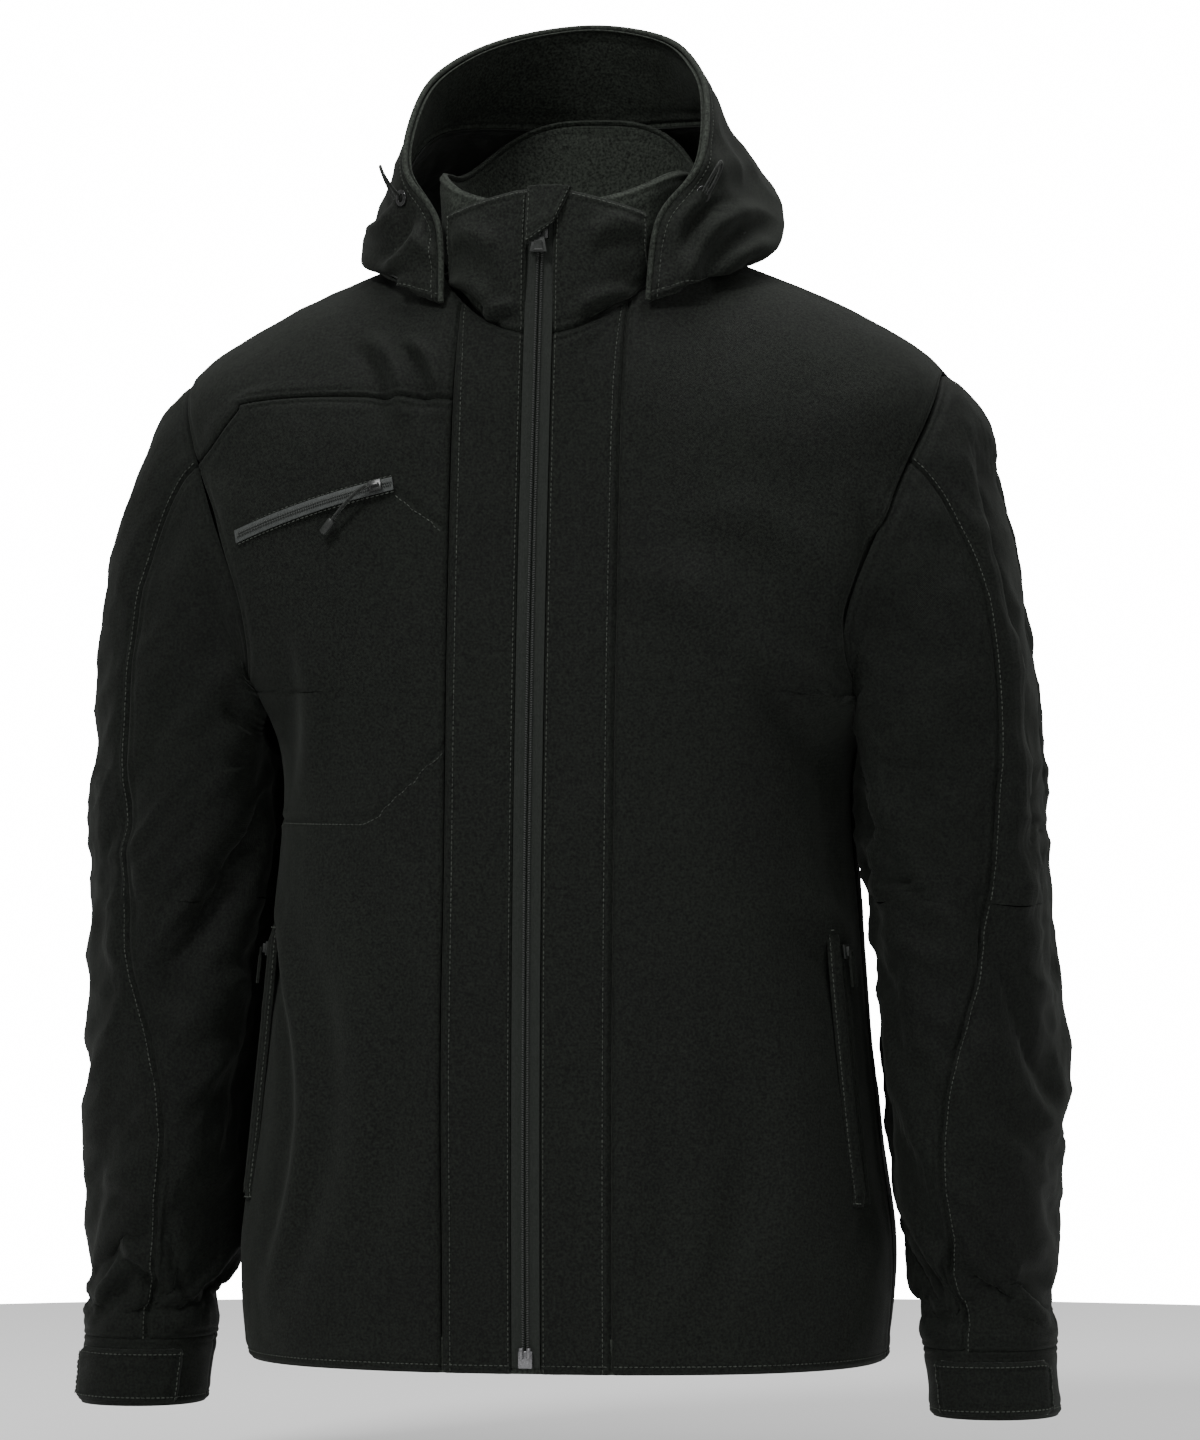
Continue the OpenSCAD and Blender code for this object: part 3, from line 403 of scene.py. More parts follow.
# Rings of the sleeve below the armhole: height, centre x and y, half width, half depth
SLEEVE = [
    (-SLEEVE_END * 0.44, SLEEVE_X, 4, BICEPS_W / 2, BICEPS_D / 2),
    (-SLEEVE_END * 0.576, mix(SLEEVE_X, WRIST_X, 0.15), 8, BICEPS_W / 2, BICEPS_D / 2 - 4),
    (-SLEEVE_END * 0.735, mix(SLEEVE_X, WRIST_X, 0.4), 3, mix(BICEPS_W, CUFF_W, 0.1) / 2,
     mix(BICEPS_D, CUFF_D, 0.25) / 2),
    (-SLEEVE_END * 0.86, mix(SLEEVE_X, WRIST_X, 0.7), -6, mix(BICEPS_W, CUFF_W, 0.7) / 2,
     mix(BICEPS_D, CUFF_D, 0.65) / 2),
    (CUFF_H - SLEEVE_END, mix(SLEEVE_X, WRIST_X, 0.85), -12, CUFF_W / 2 + 1, CUFF_D / 2 + 3),
    (-SLEEVE_END, WRIST_X, -16, CUFF_W / 2, CUFF_D / 2)]
CUFF = len(SLEEVE)
SLEEVE_OFF = -0.4


def sleeve_skin(a, v):
    """a goes round the left sleeve: 0 at its inner side, 90 at the front, 180 outside. v is 0 at the
    armhole, 1 at the first ring and one more at each ring after it."""
    hole_v = mix(UNDERARM, SHOULDER, (1 - np.cos(np.radians(a))) / 2)
    top = body_skin(90 - np.sign(np.sin(np.radians(a))) * armhole(hole_v), hole_v) + (SLEEVE_OFF, 0, -0.5)
    s = spline(SLEEVE, np.maximum(v - 1, 0))
    c, d = np.cos(np.radians(a)), np.sin(np.radians(a))
    end = np.stack([s[..., 1] - s[..., 3] * signed_pow(c, 0.94), s[..., 2] - s[..., 4] * signed_pow(d, 0.94),
                    s[..., 0]], -1)
    mid = np.stack([mix(top[..., i], end[..., i], k) for i, k in enumerate((0.85, 0.5, 0.17))], -1)
    w = np.clip(1 - v, 0, 1)[..., None]
    return w * w * top + 2 * w * (1 - w) * mid + (1 - w) ** 2 * end


# ---- Cloth -------------------------------------------------------------------------------

FOLD_GAIN = 2.6
STITCH_AT = 5.5
STITCH_PITCH = 3.3
EDGE_STEPS = [0, 0.8, 1.8, 3, 4.3, 5.5, 6.8, 9, 12]
SEAM_PROFILE = [(-1.7, 0, 1.7), (0.5, 3.2, 1.8), (-0.45, STITCH_AT, 0.9)]  # rise, distance in and width
PUFF = (0.55, 10, 4)
FLAT_NEAR_SEAM = 16
POCKET_MIDDLE, POCKET_REACH = (-178, -208), (58, 52)


def across_stops(width, count, low, high):
    """Stops from 0 to 1 over a width in millimetres, close together beside an edge that has a seam."""
    edge = [step / width for step in EDGE_STEPS]
    start = edge if low else [0.0]
    end = [1 - step for step in reversed(edge)] if high else [1.0]
    middle = np.linspace(start[-1], end[0], count + 1)[1:-1]
    return np.concatenate([start, middle, end])


def bell(d, width):
    return np.exp(-((d / width) ** 2))


def fold_height(x, z, folds):
    """Ridges and hollows along lines in front view. Each fold is (x0, z0, x1, z1, width, height): a ridge
    with a hollow along its right side, which fades at both ends."""
    height = np.zeros_like(x)
    for x0, z0, x1, z1, width, rise in folds:
        length = math.hypot(x1 - x0, z1 - z0)
        ax, az = (x1 - x0) / length, (z1 - z0) / length
        along = ((x - x0) * ax + (z - z0) * az) / length
        bow = 0.12 * length * np.sin(np.pi * np.clip(along, 0, 1))
        off = (x - x0) * az - (z - z0) * ax + bow * np.sign(rise)
        fade = np.clip(np.minimum(along + 0.12, 1.12 - along) / 0.42, 0, 1)
        fade = fade * fade * (3 - 2 * fade)
        height += rise * fade * (bell(off, width) - 0.75 * bell(off - 1.5 * width, width * 0.9))
    return height


def noise_field(points, scale, seed):
    """Smooth noise over points in metres, with the size of its cells in millimetres along x, y and z."""
    spread = points / (np.array(scale) * MM) + seed * 7.31
    return np.array([noise.noise(Vector(p)) for p in spread.reshape(-1, 3)]).reshape(points.shape[:-1])


def creases(points, scale, seed):
    """Sharp soft-sided ridges, as cloth makes where it is pushed together."""
    return (0.5 - np.abs(noise_field(points, scale, seed))) * 2


def normals_of(points):
    across, up = np.gradient(points, axis=1), np.gradient(points, axis=0)
    normal = np.cross(across, up)
    return normal / np.maximum(np.linalg.norm(normal, axis=-1, keepdims=True), 1e-9)


def run_lengths(points, axis):
    step = np.linalg.norm(np.diff(points, axis=axis), axis=-1)
    shape = list(points.shape[:2])
    shape[axis] = 1
    return np.concatenate([np.zeros(shape), np.cumsum(step, axis)], axis)


def mesh_object(name, bm, look):
    mesh = bpy.data.meshes.new(name)
    bm.to_mesh(mesh)
    bm.free()
    mesh.materials.append(MATERIALS[look])
    obj = bpy.data.objects.new(name, mesh)
    bpy.context.collection.objects.link(obj)
    mesh.polygons.foreach_set("use_smooth", [True] * len(mesh.polygons))
    return obj


class Cloth:
    """A finished piece of cloth: its object, its points as rows of columns and its edge distances."""

    def __init__(self, obj, points, reach):
        self.obj, self.points, self.reach = obj, points, reach


def folds_in_front(points, normal, folds):
    """The folds' height in millimetres where the cloth faces forwards, fading to its sides."""
    height = fold_height(points[..., 0] / MM, points[..., 2] / MM, folds)
    return height * np.clip(-normal[..., 1] / 0.35, 0, 1)


def seam_rise(points, reach, seams):
    """What the sewn edges do to the cloth's height in millimetres, and how much relief each point keeps:
    little near a seam and, as for folds, none in the middle of the chest pocket's zip."""
    rise, quiet = np.zeros(points.shape[:-1]), np.ones(points.shape[:-1])
    for edge in seams:
        d = reach[edge] / MM
        for height, inset, width in SEAM_PROFILE:
            rise += height * bell(d - inset, width)
        height, inset, width = PUFF
        rise += height * bell(d - inset, width) * (1 + noise_field(points, (14, 14, 14), 3))
        quiet = np.minimum(quiet, np.clip(d / FLAT_NEAR_SEAM, 0.12, 1))
    away = [(points[..., i] / MM - POCKET_MIDDLE[k]) / POCKET_REACH[k] for k, i in enumerate((0, 2))]
    calm = 1 - np.exp(-((away[0] ** 2 + away[1] ** 2) ** 2))
    return rise, quiet * calm, calm


def grid_object(name, points, uv, look):
    """A mesh of rows and columns at the given points, with its UV map in metres along the weave."""
    lines, cols = points.shape[0] - 1, points.shape[1] - 1
    bm = bmesh.new()
    bmesh.ops.create_grid(bm, x_segments=cols, y_segments=lines, size=1)
    obj = mesh_object(name, bm, look)
    mesh = obj.data
    flat = np.empty(len(mesh.vertices) * 3)
    mesh.vertices.foreach_get("co", flat)
    flat = flat.reshape(-1, 3)
    col = np.rint((flat[:, 0] + 1) / 2 * cols).astype(int)
    row = np.rint((flat[:, 1] + 1) / 2 * lines).astype(int)
    mesh.vertices.foreach_set("co", points[row, col].ravel())
    corner = np.empty(len(mesh.loops), int)
    mesh.loops.foreach_get("vertex_index", corner)
    mesh.uv_layers.new(name="weave").data.foreach_set("uv", uv[row, col][corner].ravel())
    mesh.update()
    return obj


def lay_cloth(name, skin, left, right, rows, size, look, seams="", folds=(), relief=None, depth=0.0,
              thick=1.2, mirrored=False, extra=None, settled=None, rim=True):
    """Lays a grid on a surface between left(v) and right(v), over rows = (v0, v1), size = (across, up) in
    millimetres and size[2:] in counts. Letters in seams name the edges that are sewn: l r b t. depth and
    what relief and extra give are in millimetres."""
    width, height, cols, lines = size
    s = across_stops(width, cols, "l" in seams, "r" in seams)
    t = across_stops(height, lines, "b" in seams, "t" in seams)
    v = np.repeat(mix(rows[0], rows[1], t)[:, None], len(s), 1)
    u = mix(left(v), right(v), s[None, :])
    points = skin(u, v) * MM
    if mirrored:
        points = points * (-1, 1, 1)
    if settled is not None:
        points = points + settled(u, v) * MM
    if mirrored:
        points = points[:, ::-1]
        seams = seams.translate(str.maketrans("lr", "rl"))
    normal = normals_of(points)
    ax, up = run_lengths(points, 1), run_lengths(points, 0)
    reach = {"l": ax, "r": ax[:, -1:] - ax, "b": up, "t": up[-1:] - up}
    rise, quiet, calm = seam_rise(points, reach, seams)
    rise -= depth
    if len(folds):
        rise += FOLD_GAIN * folds_in_front(points, normal, folds) * calm
    if relief is not None:
        rise += relief(points, normal) * quiet
    if extra is not None:
        rise += extra(points)
    points = points + normal * (rise * MM)[..., None]
    uv = np.stack([ax - ax[:, :1] / 2 - ax[:, -1:] / 2, up], -1)
    obj = grid_object(name, points, uv, look)
    if thick:
        wall = obj.modifiers.new("wall", "SOLIDIFY")
        wall.thickness = thick * MM
        wall.offset = -1
        wall.use_rim = rim
    return Cloth(obj, points, reach)


def blurred(field, reach):
    """The field averaged over reach cells each way: round the tube, and along it as far as its ends."""
    out = sum(np.roll(field, k, axis=1) for k in range(-reach, reach + 1)) / (2 * reach + 1)
    padded = np.concatenate([out[:1]] * reach + [out] + [out[-1:]] * reach)
    return sum(padded[k:k + len(field)] for k in range(2 * reach + 1)) / (2 * reach + 1)


SLACK = 0.075
SETTLE_FRAMES = 16
MOST_MOVED = 11.0


def open_tube(placed):
    """A tube of cloth through the rows of points, whose last column is its first. Gives the mesh and, for
    each of its vertices, the row and column."""
    lines, cols = placed.shape[0] - 1, placed.shape[1] - 1
    bm = bmesh.new()
    bmesh.ops.create_grid(bm, x_segments=cols, y_segments=lines, size=1)
    row, col = bm.verts.layers.int.new("row"), bm.verts.layers.int.new("col")
    grid = {}
    for vert in bm.verts:
        i, j = round((vert.co.x + 1) / 2 * cols), round((vert.co.y + 1) / 2 * lines)
        vert[row], vert[col] = j, i
        grid[j, i] = vert
        vert.co = placed[j, i]
    bmesh.ops.weld_verts(bm, targetmap={grid[j, cols]: grid[j, 0] for j in range(lines + 1)})
    bm.verts.index_update()
    return bm, [(vert[row], vert[col]) for vert in bm.verts]


def let_settle(obj):
    """Runs the cloth with its group sewn held, and gives the places of its vertices."""
    sim = obj.modifiers.new("settle", "CLOTH")
    sim.settings.quality = 5
    sim.settings.mass = 0.15
    sim.settings.tension_stiffness = sim.settings.compression_stiffness = 25
    sim.settings.shear_stiffness = 8
    sim.settings.bending_stiffness = 0.35
    sim.settings.use_pressure = True
    sim.settings.uniform_pressure_force = 2.0
    sim.settings.shrink_min = -SLACK
    sim.settings.effector_weights.gravity = 0.25
    sim.settings.vertex_group_mass = "sewn"
    sim.collision_settings.use_collision = False
    sim.collision_settings.use_self_collision = False
    scene = bpy.context.scene
    for frame_no in range(1, SETTLE_FRAMES + 1):
        scene.frame_set(frame_no)
    evaluated = obj.evaluated_get(bpy.context.evaluated_depsgraph_get()).to_mesh()
    places = [vert.co.copy() for vert in evaluated.vertices]
    scene.frame_set(1)
    bpy.data.objects.remove(obj)
    return places


def wrinkles_only(offset, along, end):
    """Takes out the slow part of the movement, fades the rest towards both sewn ends and caps it."""
    ring = list(range(offset.shape[1] - 1)) + [0]
    offset = offset - 0.9 * blurred(offset[:, :-1], 9)[:, ring]
    offset = 0.35 * offset + 0.65 * blurred(offset[:, :-1], 1)[:, ring]
    fade = np.clip((along - 0.04) / 0.6, 0, 1) * np.clip((end + 0.05 - along) / 0.8, 0, 1)
    offset *= 1.2 * fade[:, None, None]
    size = np.linalg.norm(offset, axis=-1, keepdims=True)
    return offset * np.minimum(1, MOST_MOVED / np.maximum(size, 1e-6))


def crumpled_tube(name, skin, rows, counts, folds, sign):
    """Lets a coarse tube of cloth, a little too long and wide for its shape, settle between its sewn ends.
    Returns the offset in millimetres at any (u, v), for the finer cloth laid on the same surface."""
    cols, lines = counts
    along = np.linspace(rows[0], rows[1], lines + 1)
    v = np.repeat(along[:, None], cols + 1, 1)
    u = np.repeat(np.linspace(0, 360, cols + 1)[None, :], lines + 1, 0)
    start = skin(u, v) * (sign, 1, 1) * MM
    normal = normals_of(start) * -sign
    seeds = folds_in_front(start, normal, folds) + 1.5 * creases(slanted(start, 0.9), (48, 48, 30), 21)
    seeds[:, -1] = seeds[:, 0]
    bm, where = open_tube(start + normal * (seeds * MM)[..., None])
    obj = mesh_object(name, bm, "sleeve")
    ends = obj.vertex_groups.new(name="sewn")
    for k, (j, i) in enumerate(where):
        near = min(j, lines - j)
        if near < 4:
            ends.add([k], (1, 0.6, 0.3, 0.1)[near], "REPLACE")
    moved = np.zeros(start.shape)
    for (j, i), place in zip(where, let_settle(obj)):
        moved[j, i] = place
    moved[:, cols] = moved[:, 0]
    offset = wrinkles_only((moved - start) / MM, along, rows[1])

    def at(u, v):
        x = np.mod(u, 360) / 360 * cols
        y = np.clip((v - rows[0]) / (rows[1] - rows[0]), 0, 1) * lines
        i, j = np.minimum(x.astype(int), cols - 1), np.minimum(y.astype(int), lines - 1)
        fx, fy = (x - i)[..., None], (y - j)[..., None]
        fx, fy = fx * fx * (3 - 2 * fx), fy * fy * (3 - 2 * fy)
        low = mix(offset[j, i], offset[j, i + 1], fx)
        high = mix(offset[j + 1, i], offset[j + 1, i + 1], fx)
        return mix(low, high, fy)

    return at


def seam_line(cloth, edge, inset):
    """The line on a finished cloth that runs inset millimetres from one of its edges."""
    reach = cloth.reach[edge]
    axis = 1 if edge in "lr" else 0
    line = []
    for k in range(cloth.points.shape[1 - axis]):
        d = reach[k] if axis == 1 else reach[:, k]
        row = cloth.points[k] if axis == 1 else cloth.points[:, k]
        if edge in "rt":
            d, row = d[::-1], row[::-1]
        line.append([np.interp(inset * MM, d, row[:, i]) for i in range(3)])
    return np.array(line)


def beads(name, places, look):
    """One small capsule, repeated at each of the places, which are matrices."""
    bead = bmesh.new()
    bmesh.ops.create_uvsphere(bead, u_segments=6, v_segments=4, radius=MM)
    bead_mesh = bpy.data.meshes.new("bead")
    bead.to_mesh(bead_mesh)
    bead.free()
    bm = bmesh.new()
    for place in places:
        one = bead_mesh.copy()
        one.transform(place)
        bm.from_mesh(one)
        bpy.data.meshes.remove(one)
    bpy.data.meshes.remove(bead_mesh)
    return mesh_object(name, bm, look)


def stitches(name, lines, outward, size=(1.25, 0.34), pitch=STITCH_PITCH):
    """Rows of sewn stitches at an even pitch along the lines, raised a little along outward(point)."""
    places = []
    for line in lines:
        run = np.concatenate([[0], np.cumsum(np.linalg.norm(np.diff(line, axis=0), axis=1))])
        spots = np.arange(pitch * MM, run[-1] - pitch * MM / 2, pitch * MM)
        at = np.stack([np.interp(spots, run, line[:, i]) for i in range(3)], -1)
        ahead = np.gradient(at, axis=0)
        for p, way in zip(at, ahead):
            turn = Vector(way).to_track_quat("Z", "Y").to_matrix().to_4x4()
            spot = Vector(p) + Vector(outward(p)).normalized() * 0.15 * MM
            places.append(Matrix.Translation(spot) @ turn @ Matrix.Diagonal((size[1], size[1], size[0], 1)))
    return beads(name, places, "thread")


def forwards(p):
    return (0, -1, 0)


def aslant(p):
    return (p[0] * 0.6, p[1], 0)


def from_axis(centre):
    """Outward from the upright axis through centre, for stitches on a rounded piece."""
    return lambda p: (p[0] - centre[0], p[1] - centre[1], 0.15 * (p[2] - centre[2]))


def on(body):
    return lambda obj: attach(obj, body)


def bending():
    return lambda obj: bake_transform(obj)


def settle(cloth, move, slot, *nodes):
    obj = cloth.obj if isinstance(cloth, Cloth) else cloth
    move(obj)
    if nodes:
        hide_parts(*nodes)
    return cloth


def constant(x):
    return lambda v: np.full_like(v, float(x))


# ---- Folds and reliefs --------------------------------------------------------------------

CHEST_FOLDS = [
    (145, -255, 205, -420, 12, 3.2), (165, -262, 200, -335, 8, 2.4), (74, -204, 150, -300, 20, 1.4),
    (107, -166, 200, -229, 16, 1.2), (172, -420, 214, -530, 12, 2.6), (145, -483, 132, -699, 20, 2.0),
    (98, -515, 86, -705, 16, 1.4), (206, -470, 200, -673, 9, 1.8), (221, -166, 203, -255, 9, 2.6),
    (-132, -420, -152, -699, 18, 1.8), (-84, -394, -98, -673, 18, 1.3), (-170, -204, -158, -356, 12, 1.8),
    (-186, -420, -178, -673, 9, 2.0), (-113, -58, -87, -115, 8, 2.2), (-88, -60, -62, -104, 6, 1.8),
    (-216, -150, -192, -250, 10, 2.4)]
LEFT_SLEEVE_FOLDS = [
    (247, -164, 217, -228, 8, 3.5), (257, -261, 224, -331, 9, 4.2), (227, -331, 212, -421, 8, 5.0),
    (319, -363, 280, -421, 10, 4.2), (208, -389, 260, -415, 7, 4.6), (257, -440, 214, -492, 9, 4.2),
    (266, -569, 332, -607, 7, 3.4), (214, -254, 200, -331, 7, 3.4), (299, -254, 306, -331, 12, 2.0),
    (266, -344, 221, -389, 9, 4.0), (293, -485, 247, -537, 9, 3.0), (221, -537, 260, -607, 8, 3.0),
    (283, -530, 325, -569, 7, 3.0), (240, -470, 222, -540, 7, 3.0), (266, -622, 271, -696, 3.4, -4.5),
    (262, -600, 300, -640, 5, 2.4), (236, -620, 262, -690, 6, 2.2)]
RIGHT_SLEEVE_FOLDS = [
    (-246, -164, -197, -254, 10, 4.0), (-243, -228, -197, -312, 9, 4.4), (-227, -305, -191, -363, 9, 4.6),
    (-300, -305, -274, -350, 10, 3.6), (-291, -376, -247, -460, 11, 4.6), (-253, -460, -197, -524, 10, 4.4),
    (-263, -485, -228, -549, 9, 3.4), (-276, -549, -236, -601, 9, 3.4), (-246, -145, -230, -203, 8, 2.6),
    (-214, -228, -194, -286, 7, 3.4), (-236, -261, -194, -331, 8, 3.6), (-222, -395, -194, -440, 8, 3.6),
    (-300, -595, -243, -633, 7, 3.0), (-285, -640, -255, -668, 6, 2.4), (-250, -603, -241, -680, 3.4, -4.5),
    (-300, -430, -270, -500, 9, 2.6)]
HOOD_FOLDS = [
    (88, -34, 124, 26, 8, 3.0), (98, -44, 132, 2, 7, 2.6), (82, -10, 100, 34, 6, 2.2),
    (104, 40, 128, 70, 8, 2.0),
    (-82, 8, -110, -16, 7, 2.6), (-88, -24, -128, -34, 7, 2.4), (-100, 28, -130, 10, 7, 2.2),
    (-70, -12, -84, 18, 6, 1.8)]


def torso_relief(points, normal):
    return (2.6 * noise_field(points, (75, 75, 200), 1) + 1.2 * noise_field(points, (32, 32, 52), 2)
            + 0.3 * noise_field(points, (10, 10, 12), 4))


def slanted(points, slope):
    """Points turned so that creases run down and towards the body, on both sides of it."""
    out = points.copy()
    out[..., 2] = points[..., 2] + slope * np.abs(points[..., 0])
    return out


def sleeve_relief(points, normal):
    lower = slanted(points, 0.9)
    busy = np.exp(-(((points[..., 2] + 0.42) / 0.16) ** 2)) * 0.7 + 0.5
    inward = np.clip((-normal[..., 0] * np.sign(points[..., 0]) - 0.3) / 0.7, 0, 1)
    pressed = 8.5 * inward * np.exp(-(((points[..., 2] + 0.362) / 0.07) ** 2))
    return (busy * (2.9 * creases(lower, (60, 60, 34), 5) + 1.5 * creases(lower, (34, 34, 20), 6))
            + 0.35 * noise_field(points, (12, 12, 10), 7) + pressed)


def hood_relief(points, normal):
    bend = slanted(points, -0.7)
    return 1.8 * creases(bend, (46, 46, 30), 8) + 0.9 * noise_field(points, (24, 24, 20), 9)


def facing_relief(points, normal):
    return 1.2 * noise_field(points, (50, 50, 50), 10) + 0.5 * noise_field(points, (18, 18, 18), 11)


def lining_relief(points, normal):
    return (1.8 * creases(points, (30, 22, 26), 12) + 1.0 * creases(points, (14, 12, 12), 13))


def sewn_lines(points, lines):
    """Grooves along polylines in front view, each line a list of (x, z), where panels are sewn on."""
    x, z = points[..., 0] / MM, points[..., 2] / MM
    near = np.full(x.shape, 1e3)
    for line in lines:
        for (x0, z0), (x1, z1) in zip(line, line[1:]):
            length = math.hypot(x1 - x0, z1 - z0)
            ax, az = (x1 - x0) / length, (z1 - z0) / length
            t = np.clip((x - x0) * ax + (z - z0) * az, 0, length)
            near = np.minimum(near, np.hypot(x - x0 - t * ax, z - z0 - t * az))
    return near


# ---- Body -----------------------------------------------------------------------------------

POCKET_LINES = [[(-54, -321), (-103, -367), (-190, -370)], [(-90, -158), (-55, -185)]]


def side_edge(v):
    return 90 - armhole(v)


def placket_edge(v):
    return body_angle(PLACKET_EDGE, v)


def pocket_extra(points):
    near = sewn_lines(points, POCKET_LINES)
    facing = points[..., 1] < 0
    return facing * (0.5 * bell(near - 4, 2.2) - 1.3 * bell(near, 1.3))


def yoke_row(p):
    return mix(9.05, 7.1, p) + 0.12 * np.sin(2 * np.pi * p)


def front_at(p, v):
    return body_skin(-mix(placket_edge(v), side_edge(v), p), v)


def lower_front_skin(p, r):
    """p goes from the placket to the side, and r from the hem to the yoke's seam at 7."""
    return front_at(p, np.where(r <= 5, r, mix(5, yoke_row(p), (r - 5) / 2)))


def yoke_skin(p, r):
    return front_at(p, mix(yoke_row(p), NECK, r))


def build_body():
    torso = on("torso")
    shells = {}
    shells["front_panel_left"] = lay_cloth(
        "front_left_shell", body_skin, lambda v: placket_edge(v) + 0.01, side_edge, (0, NECK),
        (190, 690, 62, 230), "shell", "lrbt", CHEST_FOLDS, torso_relief)
    shells["front_panel_right"] = lay_cloth(
        "front_right_shell", lower_front_skin, constant(1), constant(0.002), (0, 7), (190, 560, 88, 270),
        "shell", "lrbt", CHEST_FOLDS, torso_relief, extra=pocket_extra)
    shells["chest_yoke_right"] = lay_cloth(
        "chest_yoke_shell", yoke_skin, constant(1), constant(0.002), (0, 1), (190, 110, 62, 50), "shell",
        "lrbt", CHEST_FOLDS, torso_relief)
    for side, sign in SIDES.items():
        edges = [lambda v: body_angle(TAPE_EDGE + 0.2, v), lambda v: placket_edge(v) - 0.01]
        left, right = edges if sign > 0 else [lambda v: -edges[1](v), lambda v: -edges[0](v)]
        shells["placket_" + side] = lay_cloth(
            "placket_" + side + "_shell", body_skin, left, right, (0, NECK), (46, 690, 14, 230), "shell",
            "lrbt", CHEST_FOLDS, torso_relief)
    shells["back_panel"] = lay_cloth(
        "back_shell", body_skin, lambda v: 90 + armhole(v), lambda v: 270 - armhole(v), (0, NECK),
        (420, 700, 110, 200), "shell", "lrbt", (), torso_relief)
    for node, cloth in shells.items():
        settle(cloth, torso, "shell", node)
    rows = [seam_line(cloth, edge, STITCH_AT) for node, cloth in shells.items()
            for edge in {"front_panel_left": "b", "placket_left": "rb", "placket_right": "lb",
                         "front_panel_right": "b", "back_panel": "b", "chest_yoke_right": ""}[node]]
    for side, edge in (("left", "l"), ("right", "r")):
        rows.append(seam_line(shells["placket_" + side], edge, 2.6))
    body_axis = (0, 0, -0.35)
    sewn = stitches("body_stitches", rows, from_axis(body_axis))
    settle(sewn, torso, "shell")
    front = shells["front_panel_right"]
    pocket = []
    flat = front.points.reshape(-1, 3)
    for line in POCKET_LINES:
        spots = []
        for (x0, z0), (x1, z1) in zip(line, line[1:]):
            for k in range(12):
                spots.append((mix(x0, x1, k / 12), mix(z0, z1, k / 12) - 3.2))
        pocket.append(np.array([flat[np.argmin((flat[:, 0] / MM - x) ** 2 + (flat[:, 2] / MM - z) ** 2
                                               + 1e6 * (flat[:, 1] > 0))] for x, z in spots]))
    settle(stitches("pocket_stitches", pocket, lambda p: (p[0], p[1], 0)), torso, "shell")
    flap = lay_cloth("storm_flap_cloth", body_skin, lambda v: -body_angle(24, v),
                     lambda v: body_angle(24, v), (0.02, 10.95), (48, 690, 16, 120), "facing", depth=2.6)
    settle(flap, torso, "shell", "storm_flap")
    turn_up = lay_cloth("hem_turn_up", body_skin, lambda v: -body_angle(80, v), lambda v: body_angle(80, v),
                        (0.004, 0.42), (160, 28, 30, 5), "facing", depth=1.6)
    settle(turn_up, torso, "shell")
    lining = lay_cloth(
        "body_lining_cloth", body_skin, lambda v: body_angle(TAPE_EDGE + 1, v),
        lambda v: 360 - body_angle(TAPE_EDGE + 1, v), (0.12, 10.9), (1100, 690, 190, 130), "lining", "", (),
        lining_relief, depth=12)
    settle(lining, torso, "lining", "body_lining", "insulation_back", "insulation_left", "insulation_right",
           "chest_pocket_bag", "hand_pocket_bag_left", "hand_pocket_bag_right")


# ---- Collar ---------------------------------------------------------------------------------


def build_collar():
    torso = on("torso")
    rows = []
    for side, sign in SIDES.items():
        x0, x1 = (TAPE_EDGE + 0.3, PANEL_W) if sign > 0 else (-PANEL_W, -TAPE_EDGE - 0.3)
        folds = [(24, -44, 62, -34, 6, 2.0), (30, 2, 62, 10, 8, 1.4), (-62, -22, -30, -42, 6, 2.6),
                 (-60, 6, -28, -6, 9, 1.6), (-40, -52, -14, -40, 5, 1.6)]
        panel = lay_cloth("collar_" + side + "_shell", panel_skin, constant(x0), constant(x1), (0, 1),
                          (58, 88, 26, 40), "collar", "lrbt", folds,
                          lambda p, n: 0.9 * noise_field(p, (36, 36, 30), 14), thick=5)
        settle(panel, torso, "collar_shell", "collar_" + side)
        rows += [seam_line(panel, edge, 2.4) for edge in "lrt"]
    settle(stitches("collar_stitches", rows, forwards), torso, "collar_shell")
    inner = lay_cloth(
        "collar_inner_cloth", collar_skin, lambda v: collar_angle(16, v),
        lambda v: 360 - collar_angle(16, v), (0.05, 2), (520, 80, 130, 34), "facing", "t", (),
        facing_relief, depth=3.2, thick=3.2)
    settle(inner, torso, "lining", "collar_inner")
    edge = seam_line(inner, "t", 3)
    inward = stitches("collar_inner_stitches", [edge - (edge - edge.mean(0)) * (1, 1, 0) * 0.035],
                      lambda p: (-p[0], -p[1], 0), size=(1.2, 0.3))
    settle(inward, torso, "lining")


# ---- Hood -----------------------------------------------------------------------------------


def tube(name, line, radius, look, sides=10):
    """A round welt along a line of points in metres, closed at both ends."""
    data = bpy.data.curves.new(name, "CURVE")
    data.dimensions = "3D"
    data.bevel_depth = radius
    data.bevel_resolution = max(1, sides // 4)
    data.use_fill_caps = True
    run = data.splines.new("POLY")
    run.points.add(len(line) - 1)
    for point, place in zip(run.points, line):
        point.co = (*place, 1)
    curve = bpy.data.objects.new(name, data)
    bpy.context.collection.objects.link(curve)
    mesh = bpy.data.meshes.new_from_object(curve.evaluated_get(bpy.context.evaluated_depsgraph_get()))
    bpy.data.objects.remove(curve)
    mesh.materials.clear()
    mesh.materials.append(MATERIALS[look])
    mesh.polygons.foreach_set("use_smooth", [True] * len(mesh.polygons))
    obj = bpy.data.objects.new(name, mesh)
    bpy.context.collection.objects.link(obj)
    return obj


